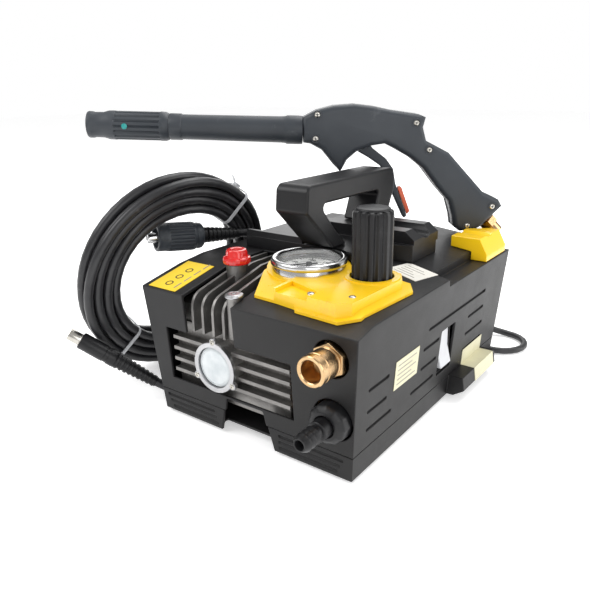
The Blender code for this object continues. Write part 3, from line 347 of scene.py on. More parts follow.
def crowned(node, side, radius, finish, tip, core, steps=6):
    """A flat CAD plate whose face towards `side` is rounded over at its rim, shown in its place.

    The rim moves inwards as it rises; close to the sharp `tip` it moves towards `core` instead.
    """
    mesh = tidy_copy(node)
    form = bmesh.new()
    form.from_mesh(mesh)
    cap = max((f for f in form.faces if f.normal.dot(side) > 0.99), key=lambda f: f.calc_area())
    for vert in cap.verts:
        vert.co -= side * radius
    rim = [vert.co.copy() for vert in cap.verts]
    inward = []
    for before, at, after in zip(rim[-1:] + rim, rim, rim[1:] + rim[:1]):
        walk = (at - before).normalized() + (after - at).normalized()
        gap, ahead = at - tip, core - at
        if (gap - side * gap.dot(side)).length < 0.014:
            inward.append((ahead - side * ahead.dot(side)).normalized())
        else:
            inward.append(side.cross(walk).normalized())
    for step in range(1, steps + 1):
        angle = math.pi / 2 * step / steps
        bmesh.ops.inset_region(form, faces=[cap], thickness=0.00001)
        for vert, at, way in zip(cap.verts, rim, inward):
            vert.co = at + way * radius * (1 - math.cos(angle)) + side * radius * math.sin(angle)
    form.to_mesh(mesh)
    form.free()
    mesh.shade_smooth()
    mesh.set_sharp_from_angle(angle=math.radians(50))
    return show(node + "_look", mesh, finish, frame["nodes"][node]["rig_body"], (node,))


def axes_at(origin, direction, near=Vector((0, 0, 1))):
    """A matrix with +Z along `direction`."""
    out = Vector(direction).normalized()
    if abs(out.dot(near)) > 0.95:
        near = Vector((1, 0, 0))
    side = near.cross(out).normalized()
    return Matrix.Translation(origin) @ Matrix((side, out.cross(side), out)).transposed().to_4x4()


def lathe(name, profile, place, steps=48, swell=None):
    """(radius, height) points spun about +Z of `place`; a radius of 0 closes an end.

    swell(angle, radius, height) may change a point's radius, for knurls and flutes.
    """
    form = bmesh.new()
    rows = []
    for radius, height in profile:
        if radius < 1e-7:
            rows.append([form.verts.new((0, 0, height))])
            continue
        row = []
        for i in range(steps):
            angle = 2 * math.pi * i / steps
            r = swell(angle, radius, height) if swell else radius
            row.append(form.verts.new((r * math.cos(angle), r * math.sin(angle), height)))
        rows.append(row)
    for low, high in zip(rows, rows[1:]):
        for i in range(steps):
            j = (i + 1) % steps
            ring = [low[i % len(low)], low[j % len(low)], high[j % len(high)], high[i % len(high)]]
            ring = [v for k, v in enumerate(ring) if v not in ring[:k]]
            if len(ring) > 2:
                form.faces.new(ring)
    for end in (rows[0], rows[-1]):
        if len(end) > 1 and rows[0] is not rows[-1] and profile[0] != profile[-1]:
            form.faces.new(end)
    bmesh.ops.remove_doubles(form, verts=form.verts, dist=0.000001)
    bmesh.ops.recalc_face_normals(form, faces=form.faces)
    bmesh.ops.transform(form, matrix=place, verts=form.verts)
    return made_mesh(form, name, 38)


def prism(name, outline, place, span, width=0.0):
    """A flat outline in x and y of `place`, raised from span[0] to span[1] along its z, edges rounded."""
    form = bmesh.new()
    low = [form.verts.new((x, y, span[0])) for x, y in outline]
    high = [form.verts.new((x, y, span[1])) for x, y in outline]
    form.faces.new(low)
    form.faces.new(high)
    for i in range(len(outline)):
        j = (i + 1) % len(outline)
        form.faces.new((low[i], low[j], high[j], high[i]))
    bmesh.ops.recalc_face_normals(form, faces=form.faces)
    if width:
        sharp = [e for e in form.edges if e.calc_face_angle(0) > math.radians(28)]
        bmesh.ops.bevel(form, geom=sharp, offset=width, segments=2, affect="EDGES", profile=0.5,
                        clamp_overlap=True)
    bmesh.ops.transform(form, matrix=place, verts=form.verts)
    return made_mesh(form, name, 40)


def merged(name, meshes):
    """Several meshes as one."""
    form = bmesh.new()
    for mesh in meshes:
        form.from_mesh(mesh)
        bpy.data.meshes.remove(mesh)
    return made_mesh(form, name, 38)


def turned(name, profile, place, steps, finish, body=ROOT, instead=(), swell=None):
    """A lathed piece, shown in place of the named CAD nodes."""
    return show(name, lathe(name, profile, place, steps, swell), finish, body, instead)


def band(name, inner, outer, low, high, place, steps):
    """A flat ring from `low` to `high` along +Z of `place`."""
    profile = [(inner, low), (outer, low), (outer, high), (inner, high), (inner, low)]
    return lathe(name, profile, place, steps)


def spline_object(name, points, diameter, finish, sides=5):
    curve = bpy.data.curves.new(name, "CURVE")
    curve.dimensions = "3D"
    curve.bevel_depth = diameter / 2
    curve.bevel_resolution = sides
    curve.use_fill_caps = True
    spline = curve.splines.new("POLY")
    spline.points.add(len(points) - 1)
    for point, place in zip(spline.points, points):
        point.co = (*place, 1)
    curve.materials.append(finish)
    obj = bpy.data.objects.new(name, curve)
    bpy.context.scene.collection.objects.link(obj)
    return obj


def smooth_route(points, spacing):
    """A smooth curve through the route's points (Catmull-Rom), read at even spacing."""
    knots = [Vector(p) for p in points]
    knots = [2 * knots[0] - knots[1]] + knots + [2 * knots[-1] - knots[-2]]
    fine = []
    for a, b, c, d in zip(knots, knots[1:], knots[2:], knots[3:]):
        for i in range(24):
            t = i / 24
            fine.append(0.5 * ((2 * b) + (c - a) * t + (2 * a - 5 * b + 4 * c - d) * t ** 2
                               + (3 * b - a - 3 * c + d) * t ** 3))
    fine.append(knots[-2])
    total = sum((q - p).length for p, q in zip(fine, fine[1:]))
    count = max(2, round(total / spacing))
    made = [fine[0]]
    walked = 0.0
    for p, q in zip(fine, fine[1:]):
        step = (q - p).length
        while len(made) < count and walked + step >= total * len(made) / count:
            made.append(p.lerp(q, (total * len(made) / count - walked) / step))
        walked += step
    return made + [fine[-1]]


def eased(t):
    t = min(1.0, max(0.0, t))
    return t * t * (3 - 2 * t)


# ------------------------------------------------------------------ high pressure hose
HOSE = 0.0095
COIL_AT = Vector((-0.1714, -0.0706, 0.1156))
COIL_AZIMUTH = math.radians(-10.65)
COIL_LEAN = math.radians(-16.73)
COIL_SEAM = 40.0                        # angle at which one turn passes to the next
LEAVE, ARRIVE = (0.108, 0.0222), (0.094, 0.0223)      # where the first and last turn go
COIL_FRAME = Matrix.Rotation(COIL_AZIMUTH, 3, "Z") @ Matrix.Rotation(math.pi / 2 - COIL_LEAN, 3, "Y")
ROW_A, ROW_B, ROW_C, ROW_D = 0.0123, 0.0041, -0.0041, -0.0123
HOSE_SLOTS = [(0.1078, ROW_A), (0.0982, ROW_A), (0.0886, ROW_A), (0.0934, ROW_B), (0.103, ROW_B),
              (0.1078, ROW_C),
              (0.0982, ROW_C), (0.103, ROW_D), (0.0934, ROW_D), (0.0838, ROW_D), (0.0886, ROW_C),
              (0.0838, ROW_B),
              (0.079, ROW_A)]


def coil_place(down, back, out):
    """A place by the hose coil: below and behind its centre, and out towards the case."""
    return MACHINE_AT + COIL_AT + COIL_FRAME @ Vector((down, back, out))


def coil_round(angle, radius, out):
    """The same by angle in degrees: 0 at the bottom, 90 at the back, 180 at the top."""
    return coil_place(radius * math.cos(math.radians(angle)), radius * math.sin(math.radians(angle)), out)


def hose_turns():
    """Points of the turns, walking round with falling angle, from the swivel end to the plug end."""
    made = []
    first, last, step = 60.0, COIL_SEAM - 360.0 * len(HOSE_SLOTS), 9.0
    count = round((first - last) / step)
    for i in range(count + 1):
        angle = first + (last - first) * i / count
        turn = (COIL_SEAM - angle) / 360.0
        index = min(len(HOSE_SLOTS) - 1, max(0, math.floor(turn)))
        radius, out = HOSE_SLOTS[index]
        if turn < 0:
            share, aim = eased((angle - COIL_SEAM) / 44.0), LEAVE
        else:
            share = eased((turn - index - 0.88) / 0.12)
            aim = HOSE_SLOTS[index + 1] if index + 1 < len(HOSE_SLOTS) else ARRIVE
        radius += (aim[0] - radius) * share
        out += (aim[1] - out) * share
        slack = math.radians(angle)
        radius += 0.001 * math.sin(2 * slack + 0.6) + 0.0006 * math.sin(3 * slack + index * 1.7)
        out += 0.0005 * math.sin(2 * slack + index * 2.3)
        made.append(coil_round(angle, radius, out))
    return made


def hose():
    plug_tip, plug_tail = spot(-0.205, -0.189, 0.072), spot(-0.14, -0.137, 0.0145)
    nut_tip, nut_tail = coil_place(-0.045, -0.037, -0.003), coil_place(-0.045, 0.064, 0.0232)
    leave = (nut_tail - nut_tip).normalized()
    arrive = (plug_tail - plug_tip).normalized()
    start = [nut_tail - 0.004 * leave, nut_tail + 0.006 * leave, coil_place(-0.04, 0.0868, 0.0232),
             coil_place(-0.0262, 0.1024, 0.0226), coil_round(92, 0.108, 0.0223),
             coil_round(84, 0.108, 0.0222)]
    end = [coil_round(28, 0.094, 0.0226), coil_round(14, 0.094, 0.026), spot(-0.15, -0.066, 0.011),
           spot(-0.139, -0.076, 0.007), spot(-0.13, -0.089, 0.0052),
           spot(-0.125, -0.103, 0.0052), spot(-0.1255, -0.117, 0.0058), spot(-0.131, -0.1285, 0.0085),
           plug_tail + 0.004 * arrive, plug_tail - 0.004 * arrive]
    points = smooth_route(start + hose_turns() + end, 0.0135)
    cord = spline_object("hose", points, HOSE, RUBBER)
    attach(cord, ROOT)
    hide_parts("hose_coil", "hose_tail_plug", "hose_tail_nut")
    fittings = hose_plug(plug_tip, plug_tail) + hose_swivel(nut_tip, nut_tail)
    fittings += [hose_tie("hose_tie_top", 140.0), hose_tie("hose_tie_low", 318.0)]


def ribs(profile_end, count, pitch, thick, thin, start):
    """Alternating ribs of a strain relief: (radius, height) pairs going up from `start`."""
    made = []
    for i in range(count):
        share = i / max(1, count - 1)
        crest = thick + (profile_end - thick) * share
        valley = thin + (profile_end - thick) * share * 0.8
        low = start + i * pitch
        made += [(valley, low), (valley, low + 0.3 * pitch), (crest, low + 0.42 * pitch),
                 (crest, low + 0.92 * pitch),
                 (valley, low + pitch)]
    return made


def hose_plug(tip, tail):
    """The screw-in end: a bright tube, a dark body and a ribbed relief."""
    place = axes_at(tail, tip - tail)
    length = (tip - tail).length
    tube = [(0.004, length), (0.0058, length), (0.0062, length - 0.0006), (0.0062, length - 0.012),
            (0.0066, length - 0.0124), (0.0066, length - 0.015), (0.003, length - 0.015)]
    bore = [(0.004, length), (0.0038, length - 0.006), (0, length - 0.0065)]
    bright = turned("hose_plug_tube", [(0, length - 0.015)] + tube[::-1] + bore, place, 32, NICKEL)
    body = [(0, 0.047), (0.008, 0.047), (0.0086, 0.048), (0.0088, 0.05), (0.0088, 0.056), (0.0082, 0.0565),
            (0.0082, 0.06), (0.0088, 0.0605), (0.0088, length - 0.0145), (0.0082, length - 0.013),
            (0, length - 0.013)]
    grips = lathe("hose_plug_body", body, place, 48)
    sleeve = lathe("hose_plug_relief", [(0, -0.001)] + ribs(0.0086, 9, 0.0052, 0.006, 0.0052, 0.0005)
                   + [(0.008, 0.0476), (0, 0.0476)], place, 28)
    dark = show("hose_plug_body", merged("hose_plug_body", [grips, sleeve]), BLACK, instead=("hose_plug",))
    return [bright, dark]


def hose_swivel(tip, tail):
    """The machine end: a nipple in a large swivel nut, and a ribbed relief."""
    place = axes_at(tail, tip - tail)
    length = (tip - tail).length
    nipple = [(0, length - 0.06), (0.0054, length - 0.06), (0.0054, length - 0.018),
              (0.0048, length - 0.0175),
              (0.0048, length - 0.0155), (0.0054, length - 0.015), (0.0054, length - 0.0008),
              (0.0048, length),
              (0.0026, length), (0.0024, length - 0.005), (0, length - 0.0055)]
    pin = turned("hose_nipple_pin", nipple, place, 32, STEEL)
    relief = [(0, -0.001)] + ribs(0.0084, 8, 0.0048, 0.006, 0.005, 0.0005) + [(0.0085, 0.0405),
              (0.0085, length - 0.0596), (0, length - 0.0596)]
    sleeve = turned("hose_nipple_relief", relief, place, 28, BLACK, instead=("hose_nipple",))
    low, high = length - 0.059, length - 0.009
    nut = [(0.0059, low), (0.012, low), (0.0134, low + 0.0015), (0.014, low + 0.005), (0.0136, low + 0.0075),
           (0.015, low + 0.0095), (0.0152, low + 0.0115), (0.0152, high - 0.012), (0.0146, high - 0.01),
           (0.0146, high - 0.001), (0.0136, high), (0.0112, high), (0.011, high - 0.009),
           (0.0059, high - 0.01),
           (0.0059, low)]

    def knurl(angle, radius, height):
        grip = low + 0.0118 <= height + 1e-6 and height - 1e-6 <= high - 0.0122
        return radius - (0.0009 if grip and round(angle / (2 * math.pi) * 72) % 3 == 0 else 0.0)

    shell = list(nut)
    shell.insert(7, (0.0152, low + 0.012))
    shell.insert(8, (0.0152, high - 0.0124))
    big = turned("hose_nut_look", shell, place, 72, GUN_GREY, "hose_swivel", ("hose_nut",), swell=knurl)
    return [pin, sleeve, big]


def strap(name, path, outward, width, thickness):
    """A flat strap along a path, `outward` giving its face at each point."""
    form = bmesh.new()
    rows = []
    for i, point in enumerate(path):
        along = (path[min(i + 1, len(path) - 1)] - path[max(i - 1, 0)]).normalized()
        face = outward[i].normalized()
        side = along.cross(face).normalized()
        corners = [(-1, 0), (-1, 1), (1, 1), (1, 0)]
        rows.append([form.verts.new(point + side * (a * width / 2) + face * (b * thickness)) for a,
                     b in corners])
    for low, high in zip(rows, rows[1:]):
        for i in range(4):
            form.faces.new((low[i], low[(i + 1) % 4], high[(i + 1) % 4], high[i]))
    form.faces.new(rows[0])
    form.faces.new(rows[-1])
    bmesh.ops.recalc_face_normals(form, faces=form.faces)
    return made_mesh(form, name)


def hose_tie(name, angle):
    """A cable tie drawn round the whole bundle at one angle of the coil, with its head and tail."""
    inner, outer, half = 0.0735, 0.1135, 0.0176
    corner = 0.0065
    loop = []
    for centre, start in (((outer - corner, half - corner), 0), ((inner + corner, half - corner), 90),
                          ((inner + corner, corner - half), 180), ((outer - corner, corner - half), 270)):
        for i in range(7):
            turn = math.radians(start + 15 * i)
            loop.append((centre[0] + corner * math.cos(turn), centre[1] + corner * math.sin(turn),
                         math.cos(turn), math.sin(turn)))
    loop.append(loop[0])
    radial = (coil_round(angle, 1.0, 0) - coil_round(angle, 0.0, 0)).normalized()
    axial = (coil_place(0, 0, 1) - coil_place(0, 0, 0)).normalized()
    path = [coil_round(angle, r, o) for r, o, _, _ in loop]
    facing = [radial * a + axial * b for _, _, a, b in loop]
    loop_strap = strap(name, path, facing, 0.0036, 0.0011)
    at = coil_round(angle, outer, -half * 0.35)
    head_frame = Matrix.Translation(at) @ Matrix((axial, radial.cross(axial), radial)).transposed().to_4x4()
    head = prism(name + "_head", [(-0.0034, -0.003), (0.0034, -0.003), (0.0034, 0.003), (-0.0034, 0.003)],
                 head_frame, (0.0, 0.0042), 0.0008)
    tail_path, tail_face = [], []
    for i in range(12):
        t = i / 11
        tail_path.append(at + radial * (0.0018 + 0.0075 * math.sin(1.4 * t)) - axial * (0.003 + 0.015 * t))
        tail_face.append(radial * (1 - 0.4 * t) + axial * (0.9 * t))
    tail = strap(name + "_tail", tail_path, tail_face, 0.0034, 0.001)
    return show(name, merged(name, [loop_strap, head, tail]), WHITE)


# ------------------------------------------------------------------ mains lead
LEAD = 0.0075
GLAND = (0.075, 0.019)
LEAD_COIL_AT = (0.004, 0.262)
LEAD_RADII = (0.0385, 0.0462, 0.0539, 0.0616)
LEAD_ROWS = (0.0047, 0.0122, 0.0197, 0.0272)


def lead_turns(start_angle):
    """Turns of the lead's coil, from the outside of the lowest row; returns their points."""
    slots = [(r, LEAD_ROWS[0]) for r in reversed(LEAD_RADII)] + [(r, LEAD_ROWS[1]) for r in LEAD_RADII]
    slots += [(r, LEAD_ROWS[2]) for r in reversed(LEAD_RADII)] + [(r, LEAD_ROWS[3]) for r in LEAD_RADII[:3]]
    made = []
    steps = 26
    for i in range(round(steps * (len(slots) - 0.25)) + 1):
        turn = i / steps
        index = min(len(slots) - 1, math.floor(turn))
        radius, height = slots[index]
        if index + 1 < len(slots):
            share = eased((turn - index - 0.86) / 0.14)
            radius += (slots[index + 1][0] - radius) * share
            height += (slots[index + 1][1] - height) * share
        angle = math.radians(start_angle) - 2 * math.pi * turn
        radius += 0.0004 * math.sin(3 * angle + index)
        made.append(spot(LEAD_COIL_AT[0] + radius * math.cos(angle),
                         LEAD_COIL_AT[1] + radius * math.sin(angle), height))
    return made


def lead():
    rest = LEAD / 2 + 0.0003
    coil_x, coil_y = LEAD_COIL_AT
    start = [spot(GLAND[0], 0.178, GLAND[1]), spot(GLAND[0], 0.19, GLAND[1] - 0.0005),
             spot(0.079, 0.21, 0.012), spot(0.09, 0.221, 0.007), spot(0.105, 0.225, rest),
             spot(0.12, 0.221, rest), spot(0.131, 0.21, rest), spot(0.135, 0.195, rest),
             spot(0.131, 0.18, rest), spot(0.12, 0.169, rest), spot(0.105, 0.165, rest),
             spot(0.085, 0.166, rest), spot(0.06, 0.174, rest), spot(0.035, 0.188, rest),
             spot(0.0225, 0.1945, rest)]
    plug_tail = spot(-0.0725, 0.3, 0.019)
    turns = lead_turns(-90.0)
    over = []
    for angle, radius, height in ((-25, 0.056, 0.028), (-50, 0.061, 0.028), (-75, 0.067, 0.0262),
                                  (-100, 0.0715, 0.02), (-125, 0.0738, 0.012), (-150, 0.0738, 0.0058),
                                  (-164, 0.0733, 0.0041)):
        turn = math.radians(angle)
        over.append(spot(coil_x + radius * math.cos(turn), coil_y + radius * math.sin(turn), height))
    end = [spot(-0.0695, 0.258, 0.0047), spot(-0.0715, 0.276, 0.011), plug_tail + Vector((0, -0.006, 0)),
           plug_tail + Vector((0, 0.004, 0))]
    points = smooth_route(start + turns + over + end, 0.0085)
    cord = spline_object("mains_lead", points, LEAD, LEAD_SHEATH, 4)
    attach(cord, ROOT)
    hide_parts("lead_coil", "lead_tail_case", "lead_tail_plug")
    plug = mains_plug(plug_tail)
    tie = lead_tie("lead_tie", 60.0)
    relief = [(0, 0.1575), (0.0086, 0.1575), (0.009, 0.158), (0.009, 0.159), (0.0074, 0.1596)]
    relief += ribs(0.005, 7, 0.0036, 0.007, 0.0058, 0.1597) + [(0.0046, 0.185), (0, 0.185)]
    turned("gland_look", relief, axes_at(spot(GLAND[0], 0, GLAND[1]), (0, 1, 0)), 32, BLACK,
           instead=("mains_gland",))


def mains_plug(tail):
    place = axes_at(tail, (0, 1, 0))
    profile = [(0, -0.0005)] + ribs(0.01, 6, 0.0045, 0.0056, 0.0048, 0.0)
    profile += [(0.0112, 0.03), (0.015, 0.035), (0.0176, 0.0385), (0.018, 0.041), (0.018, 0.055),
                (0.0168, 0.057), (0.0125, 0.0615), (0.0115, 0.062), (0, 0.062)]

    def waist(angle, radius, height):
        return radius * (1 - 0.1 * (0.5 + 0.5 * math.cos(2 * angle)) * min(1.0,
                                                                           max(0.0, (height - 0.028) / 0.008)))

    body = turned("mains_plug_body", profile, place, 40, BLACK, instead=("mains_plug",), swell=waist)
    pins = []
    for side in (-0.0095, 0.0095):
        at = Matrix.Translation(Vector((side, 0, 0)))
        pin = [(0, 0.06), (0.0024, 0.06), (0.0024, 0.079), (0.0017, 0.0806), (0, 0.081)]
        pins.append(lathe("pin", pin, at @ place, 20))
    return [body, show("mains_plug_pins", merged("mains_plug_pins", pins), NICKEL)]


def lead_tie(name, angle):
    inner, outer, low, high, corner = 0.0342, 0.0656, 0.0006, 0.0312, 0.004
    turn = math.radians(angle)
    radial = Vector((math.cos(turn), math.sin(turn), 0))
    axial = Vector((0, 0, 1))
    centre = spot(LEAD_COIL_AT[0], LEAD_COIL_AT[1], 0)
    path, facing = [], []
    for (r, z), start in (((outer - corner, high - corner), 0), ((inner + corner, high - corner), 90),
                          ((inner + corner, low + corner), 180), ((outer - corner, low + corner), 270)):
        for i in range(6):
            a = math.radians(start + 18 * i)
            face = radial * math.cos(a) + axial * math.sin(a)
            path.append(centre + radial * r + axial * z + face * corner)
            facing.append(face)
    return show(name, strap(name, path + path[:1], facing + facing[:1], 0.006, 0.001), BLACK)


# ------------------------------------------------------------------ small shared pieces
def dress(finish, *nodes):
    """Gives CAD nodes that keep their own shape a better finish."""
    for node in nodes:
        for slot in frame["nodes"][node].material_slots:
            slot.material = finish


def screw(place, radius):
    """A screw's domed head with a cross recess."""
    def cross(angle, r, height):
        return r * (1 + 0.55 * math.cos(4 * angle)) if r < 0.45 * radius else r

    profile = [(0, -0.001), (radius, -0.001), (radius, 0.0002), (0.82 * radius, 0.22 * radius),
               (0.5 * radius, 0.32 * radius), (0.36 * radius, 0.32 * radius), (0.16 * radius, -0.15 * radius),
               (0, -0.15 * radius)]
    return lathe("screw", profile, place, 32, cross)


def screws(name, places, radius, finish=NICKEL, body=ROOT):
    heads = merged(name, [screw(place, radius) for place in places])
    return show(name, heads, finish, body)


def upward(x, y, z):
    return Matrix.Translation(spot(x, y, z))


def forward(x, y, z):
    """A place on the front, with z out towards the front and y up."""
    return axes_at(spot(x, y, z), (0, -1, 0))


def sticker(name, outline, place, finish, marks=()):
    """A thin label with a printed pattern of plain bars."""
    show(name, prism(name, outline, place, (0, LIFT + 0.0002)), finish)
    if marks:
        bars = [prism("bar", [(x, y), (x + w, y), (x + w, y + h), (x, y + h)], place,
                      (LIFT + 0.0002, LIFT + 0.00035)) for x, y, w, h in marks]
        show(name + "_print", merged(name + "_print", bars), FADED)


# ------------------------------------------------------------------ case
CASE_HALF, CASE_FRONT, SHOULDER = 0.118, -0.1615, 0.132     # half width, front face, height of its top edge
SIDE_LEAN = 0.0095                      # how far the sides lean in, from the shoulder down to the ground
FALL = math.atan2(0.016, 0.0765)        # slope of the front part of the top
SKIN = 0.0001                           # labels start this far off their face
LIFT = 0.0002                           # and are this much raised before their own thickness


def on_slope(x, y):
    """A place on the sloping front part of the top, y running up the slope."""
    tilt = Matrix.Rotation(FALL, 4, "X")
    return Matrix.Translation(spot(x, y, SHOULDER + (y - CASE_FRONT) * math.tan(FALL) + SKIN)) @ tilt


def case():
    soften("base_tray", 0.0008, CHARCOAL, 3, whole=False)
    soften("upper_cover", 0.0009, CHARCOAL, 3, whole=False)
    dress(FOOT, "foot_front_left", "foot_front_right", "foot_rear_left", "foot_rear_right")
    soften("handle_base", 0.0014, BLACK)
    soften("carry_handle", 0.0042, BLACK, 5)
    soften("front_trim", 0.0016, YELLOW, 4)
    soften("rear_trim", 0.002, YELLOW, 4)
    screws("handle_screws",
           [upward(x, y, 0.1602) for x, y in ((-0.081, -0.034), (-0.081, 0.06), (0.056, 0.068),
                                                               (-0.026, 0.068))], 0.0034)
    screws("trim_screws", [upward(0.058, -0.136, 0.1501), upward(0.09, -0.125, 0.1501)], 0.003)
    rear = [axes_at(spot(x, y, z), (0, 1, 0)) for y, z in ((0.1612, 0.118), (0.1565, 0.04))
            for x in (-0.104, 0.104)]
    screws("rear_screws", rear, 0.0036)
    louvres = [prism("louvre", [(-0.088, -0.0012), (0.016, -0.0012), (0.016, 0.0012), (-0.088, 0.0012)],
                     Matrix.Translation(spot(0, 0.1515, 0.0495 + 0.011 * row)) @ Matrix.Rotation(1.05, 4,
                                                                                                 "X"),
                     (-0.0022, 0.0022), 0.0005) for row in range(7)]
    show("rear_louvres", merged("rear_louvres", louvres), BLACK)


def stickers():
    corners = [(-0.002, 0.054), (0.033, 0.054), (0.033, 0.001), (-0.002, 0.001)]
    rings = [band("mark", 0.0028, 0.004, 0.0004, 0.00055, on_slope(-0.109 + 0.015, y), 28)
             for y in (-0.1485, -0.1355, -0.1225)]
    sticker("warning_colour_label", corners, on_slope(-0.109, -0.16), LABEL_YELLOW,
            [(0.026, 0.006 + 0.013 * i, 0.0016, 0.01) for i in range(4)])
    show("label_rings", merged("label_rings", rings), INK)
    fall = math.atan2(0.0115, 0.088)
    tilt = Matrix.Rotation(fall, 4, "Y") @ Matrix.Rotation(math.radians(-13.0), 4, "Z")
    corner = Matrix.Translation(spot(0.064, -0.023, 0.148 - 0.034 * math.tan(fall) + 0.0001)) @ tilt
    paper = [(0.0, 0.0), (0.035, 0.0), (0.035, 0.033), (0.004, 0.033), (0.0, 0.029)]
    sticker("paper_label", paper, corner, PAPER,
            [(0.005, 0.005 + 0.005 * i, 0.024 - 0.005 * (i % 3), 0.0008) for i in range(5)])


def side_stickers():
    """Two labels on the right side, one on the bulge of the tray and one on the rear of the cover."""
    lean = math.atan2(SIDE_LEAN, SHOULDER)

    def on_side(y, z):
        x = CASE_HALF - SIDE_LEAN * (1 - z / SHOULDER) + SKIN
        face = Matrix(((0, math.sin(lean), math.cos(lean)), (1, 0, 0), (0, math.cos(lean), -math.sin(lean))))
        return Matrix.Translation(spot(x, y, z)) @ face.to_4x4()

    sticker("cream_label", [(0, 0), (0.043, 0), (0.043, 0.027), (0, 0.027)], on_side(-0.095, 0.062), CREAM,
            [(0.004, 0.004 + 0.0044 * i, 0.034 - 0.008 * (i % 2), 0.0009) for i in range(5)])
    folded = [(0.1279, 0.0121), (0.1259, 0.0264), (0.1108, 0.0264), (0.112, 0.043), (0.1116, 0.043),
              (0.1103, 0.0261), (0.1255, 0.026), (0.1275, 0.012)]
    across = Matrix(((1, 0, 0), (0, 0, -1), (0, 1, 0))).to_4x4()
    show("rear_side_label", prism("rear_side_label", folded, Matrix.Translation(spot(0, 0.112, 0)) @ across,
                                  (0, 0.052)), CREAM)


# ------------------------------------------------------------------ pump, water side
SIGHT, OUTLET, INLET = (-0.031, 0.07), (0.093, 0.1105), (0.0925, 0.0565)    # x and z on the front
OIL_NECK, VENT_PLUG = (-0.05, -0.103, 0.1503), (-0.014, -0.148, 0.1368)
KNOB, GAUGE = (0.075, -0.069, 0.1395), (0.012, -0.074, 0.0)


def pump():
    soften("pump_crankcase", 0.0007, CAST, 2)
    soften("sight_frame", 0.0007, SILVER_CAST, 2)
    glass = [(0, 0.1574), (0.0188, 0.1574), (0.0188, 0.1586), (0.0176, 0.1594), (0.016, 0.16),
             (0.0158, 0.1596),
             (0.012, 0.1602), (0.006, 0.1606), (0, 0.1607)]
    front = forward(SIGHT[0], 0, SIGHT[1])
    turned("sight_lens_look", glass, front, 56, PALE_LENS, instead=("sight_lens",))
    lugs = [(SIGHT[0] + 0.0245 * math.cos(math.radians(a)), SIGHT[1] + 0.0245 * math.sin(math.radians(a)))
            for a in (90, 210, 330)]
    screws("sight_screws", [forward(x, -0.1613, z) for x, z in lugs], 0.0026)
    cap = [(0, 0.0002), (0.0112, 0.0002), (0.0128, 0.001), (0.0131, 0.0022), (0.0131, 0.0052),
           (0.0126, 0.0062),
           (0.0108, 0.0068), (0.0104, 0.008), (0.01, 0.0118), (0.0088, 0.0134), (0.006, 0.0139),
           (0.0052, 0.0136),
           (0.003, 0.0136), (0, 0.0136)]

    def grips(angle, radius, height):
        share = 1.0 if 0.0075 < height < 0.0125 else 0.0
        knurls = 0.0004 if 0.0015 < height < 0.0056 and round(angle / (2 * math.pi) * 96) % 4 == 0 else 0.0
        return radius * (1 - share * 0.1 * (0.5 + 0.5 * math.cos(6 * angle))) - knurls

    turned("oil_cap_look", cap, upward(*OIL_NECK), 96, RED, "oil_filler", ("oil_cap",), swell=grips)
    plug = [(0, 0), (0.008, 0), (0.0083, 0.0004), (0.0083, 0.0014), (0.0076, 0.0024), (0.0052, 0.003),
            (0.005, 0.0028),
            (0.0022, 0.0028), (0.002, 0.002), (0, 0.002)]
    turned("vent_plug_look", plug, upward(*VENT_PLUG), 48, SILVER_CAST, instead=("vent_plug",))


def water():
    out = forward(OUTLET[0], 0, OUTLET[1])
    six = [(0.0152 * math.cos(math.radians(60 * i + 30)), 0.0152 * math.sin(math.radians(60 * i + 30)))
           for i in range(6)]
    nut = prism("outlet_hex", six, out, (0.144, 0.1643), 0.0008)
    spigot = [(0, 0.163), (0.0122, 0.163), (0.0122, 0.1652), (0.0112, 0.1658), (0.0112, 0.1672),
              (0.0124, 0.168),
              (0.0125, 0.169), (0.0125, 0.179), (0.0121, 0.1794), (0.0121, 0.1802), (0.0125, 0.1806),
              (0.0125, 0.1862),
              (0.0118, 0.187), (0.0098, 0.187), (0.009, 0.1862), (0.009, 0.17), (0.005, 0.169),
              (0.0048, 0.165),
              (0, 0.165)]
    show("outlet_look", merged("outlet_look", [nut, lathe("outlet_spigot", spigot, out, 56)]), BRASS,
         instead=("outlet_fitting",))
    inlet = forward(INLET[0], 0, INLET[1])

    def facets(angle, radius, height):
        edge = (math.degrees(angle) % 30.0) - 15.0
        if radius < 0.014:
            return radius
        return radius * math.cos(math.radians(15.0)) / math.cos(math.radians(edge)) * 1.012

    nut = [(0.0089, 0.1482), (0.016, 0.1482), (0.017, 0.149), (0.017, 0.164), (0.0164, 0.1656),
           (0.0146, 0.1672),
           (0.0125, 0.1688), (0.0118, 0.1692), (0.0098, 0.1692), (0.0089, 0.1684), (0.0089, 0.1482)]
    turned("inlet_nut_look", nut, inlet, 96, BLACK, "water_inlet_nut", ("inlet_nut",), swell=facets)
    barb = [(0, 0.1442), (0.0084, 0.1442), (0.0085, 0.178), (0.008, 0.1786), (0.0064, 0.179),
            (0.0062, 0.1796)]
    for start in (0.183, 0.189, 0.1948):
        barb += [(0.0062, start - 0.0006), (0.0076, start), (0.0079, start + 0.0004),
                 (0.0079, start + 0.0011),
                 (0.0064, start + 0.0042)]
    barb += [(0.006, 0.2), (0.0054, 0.2009), (0.0044, 0.2009), (0.0041, 0.2003), (0.0041, 0.174), (0, 0.174)]
    turned("inlet_barb_look", barb, inlet, 48, BLACK, instead=("inlet_barb",))


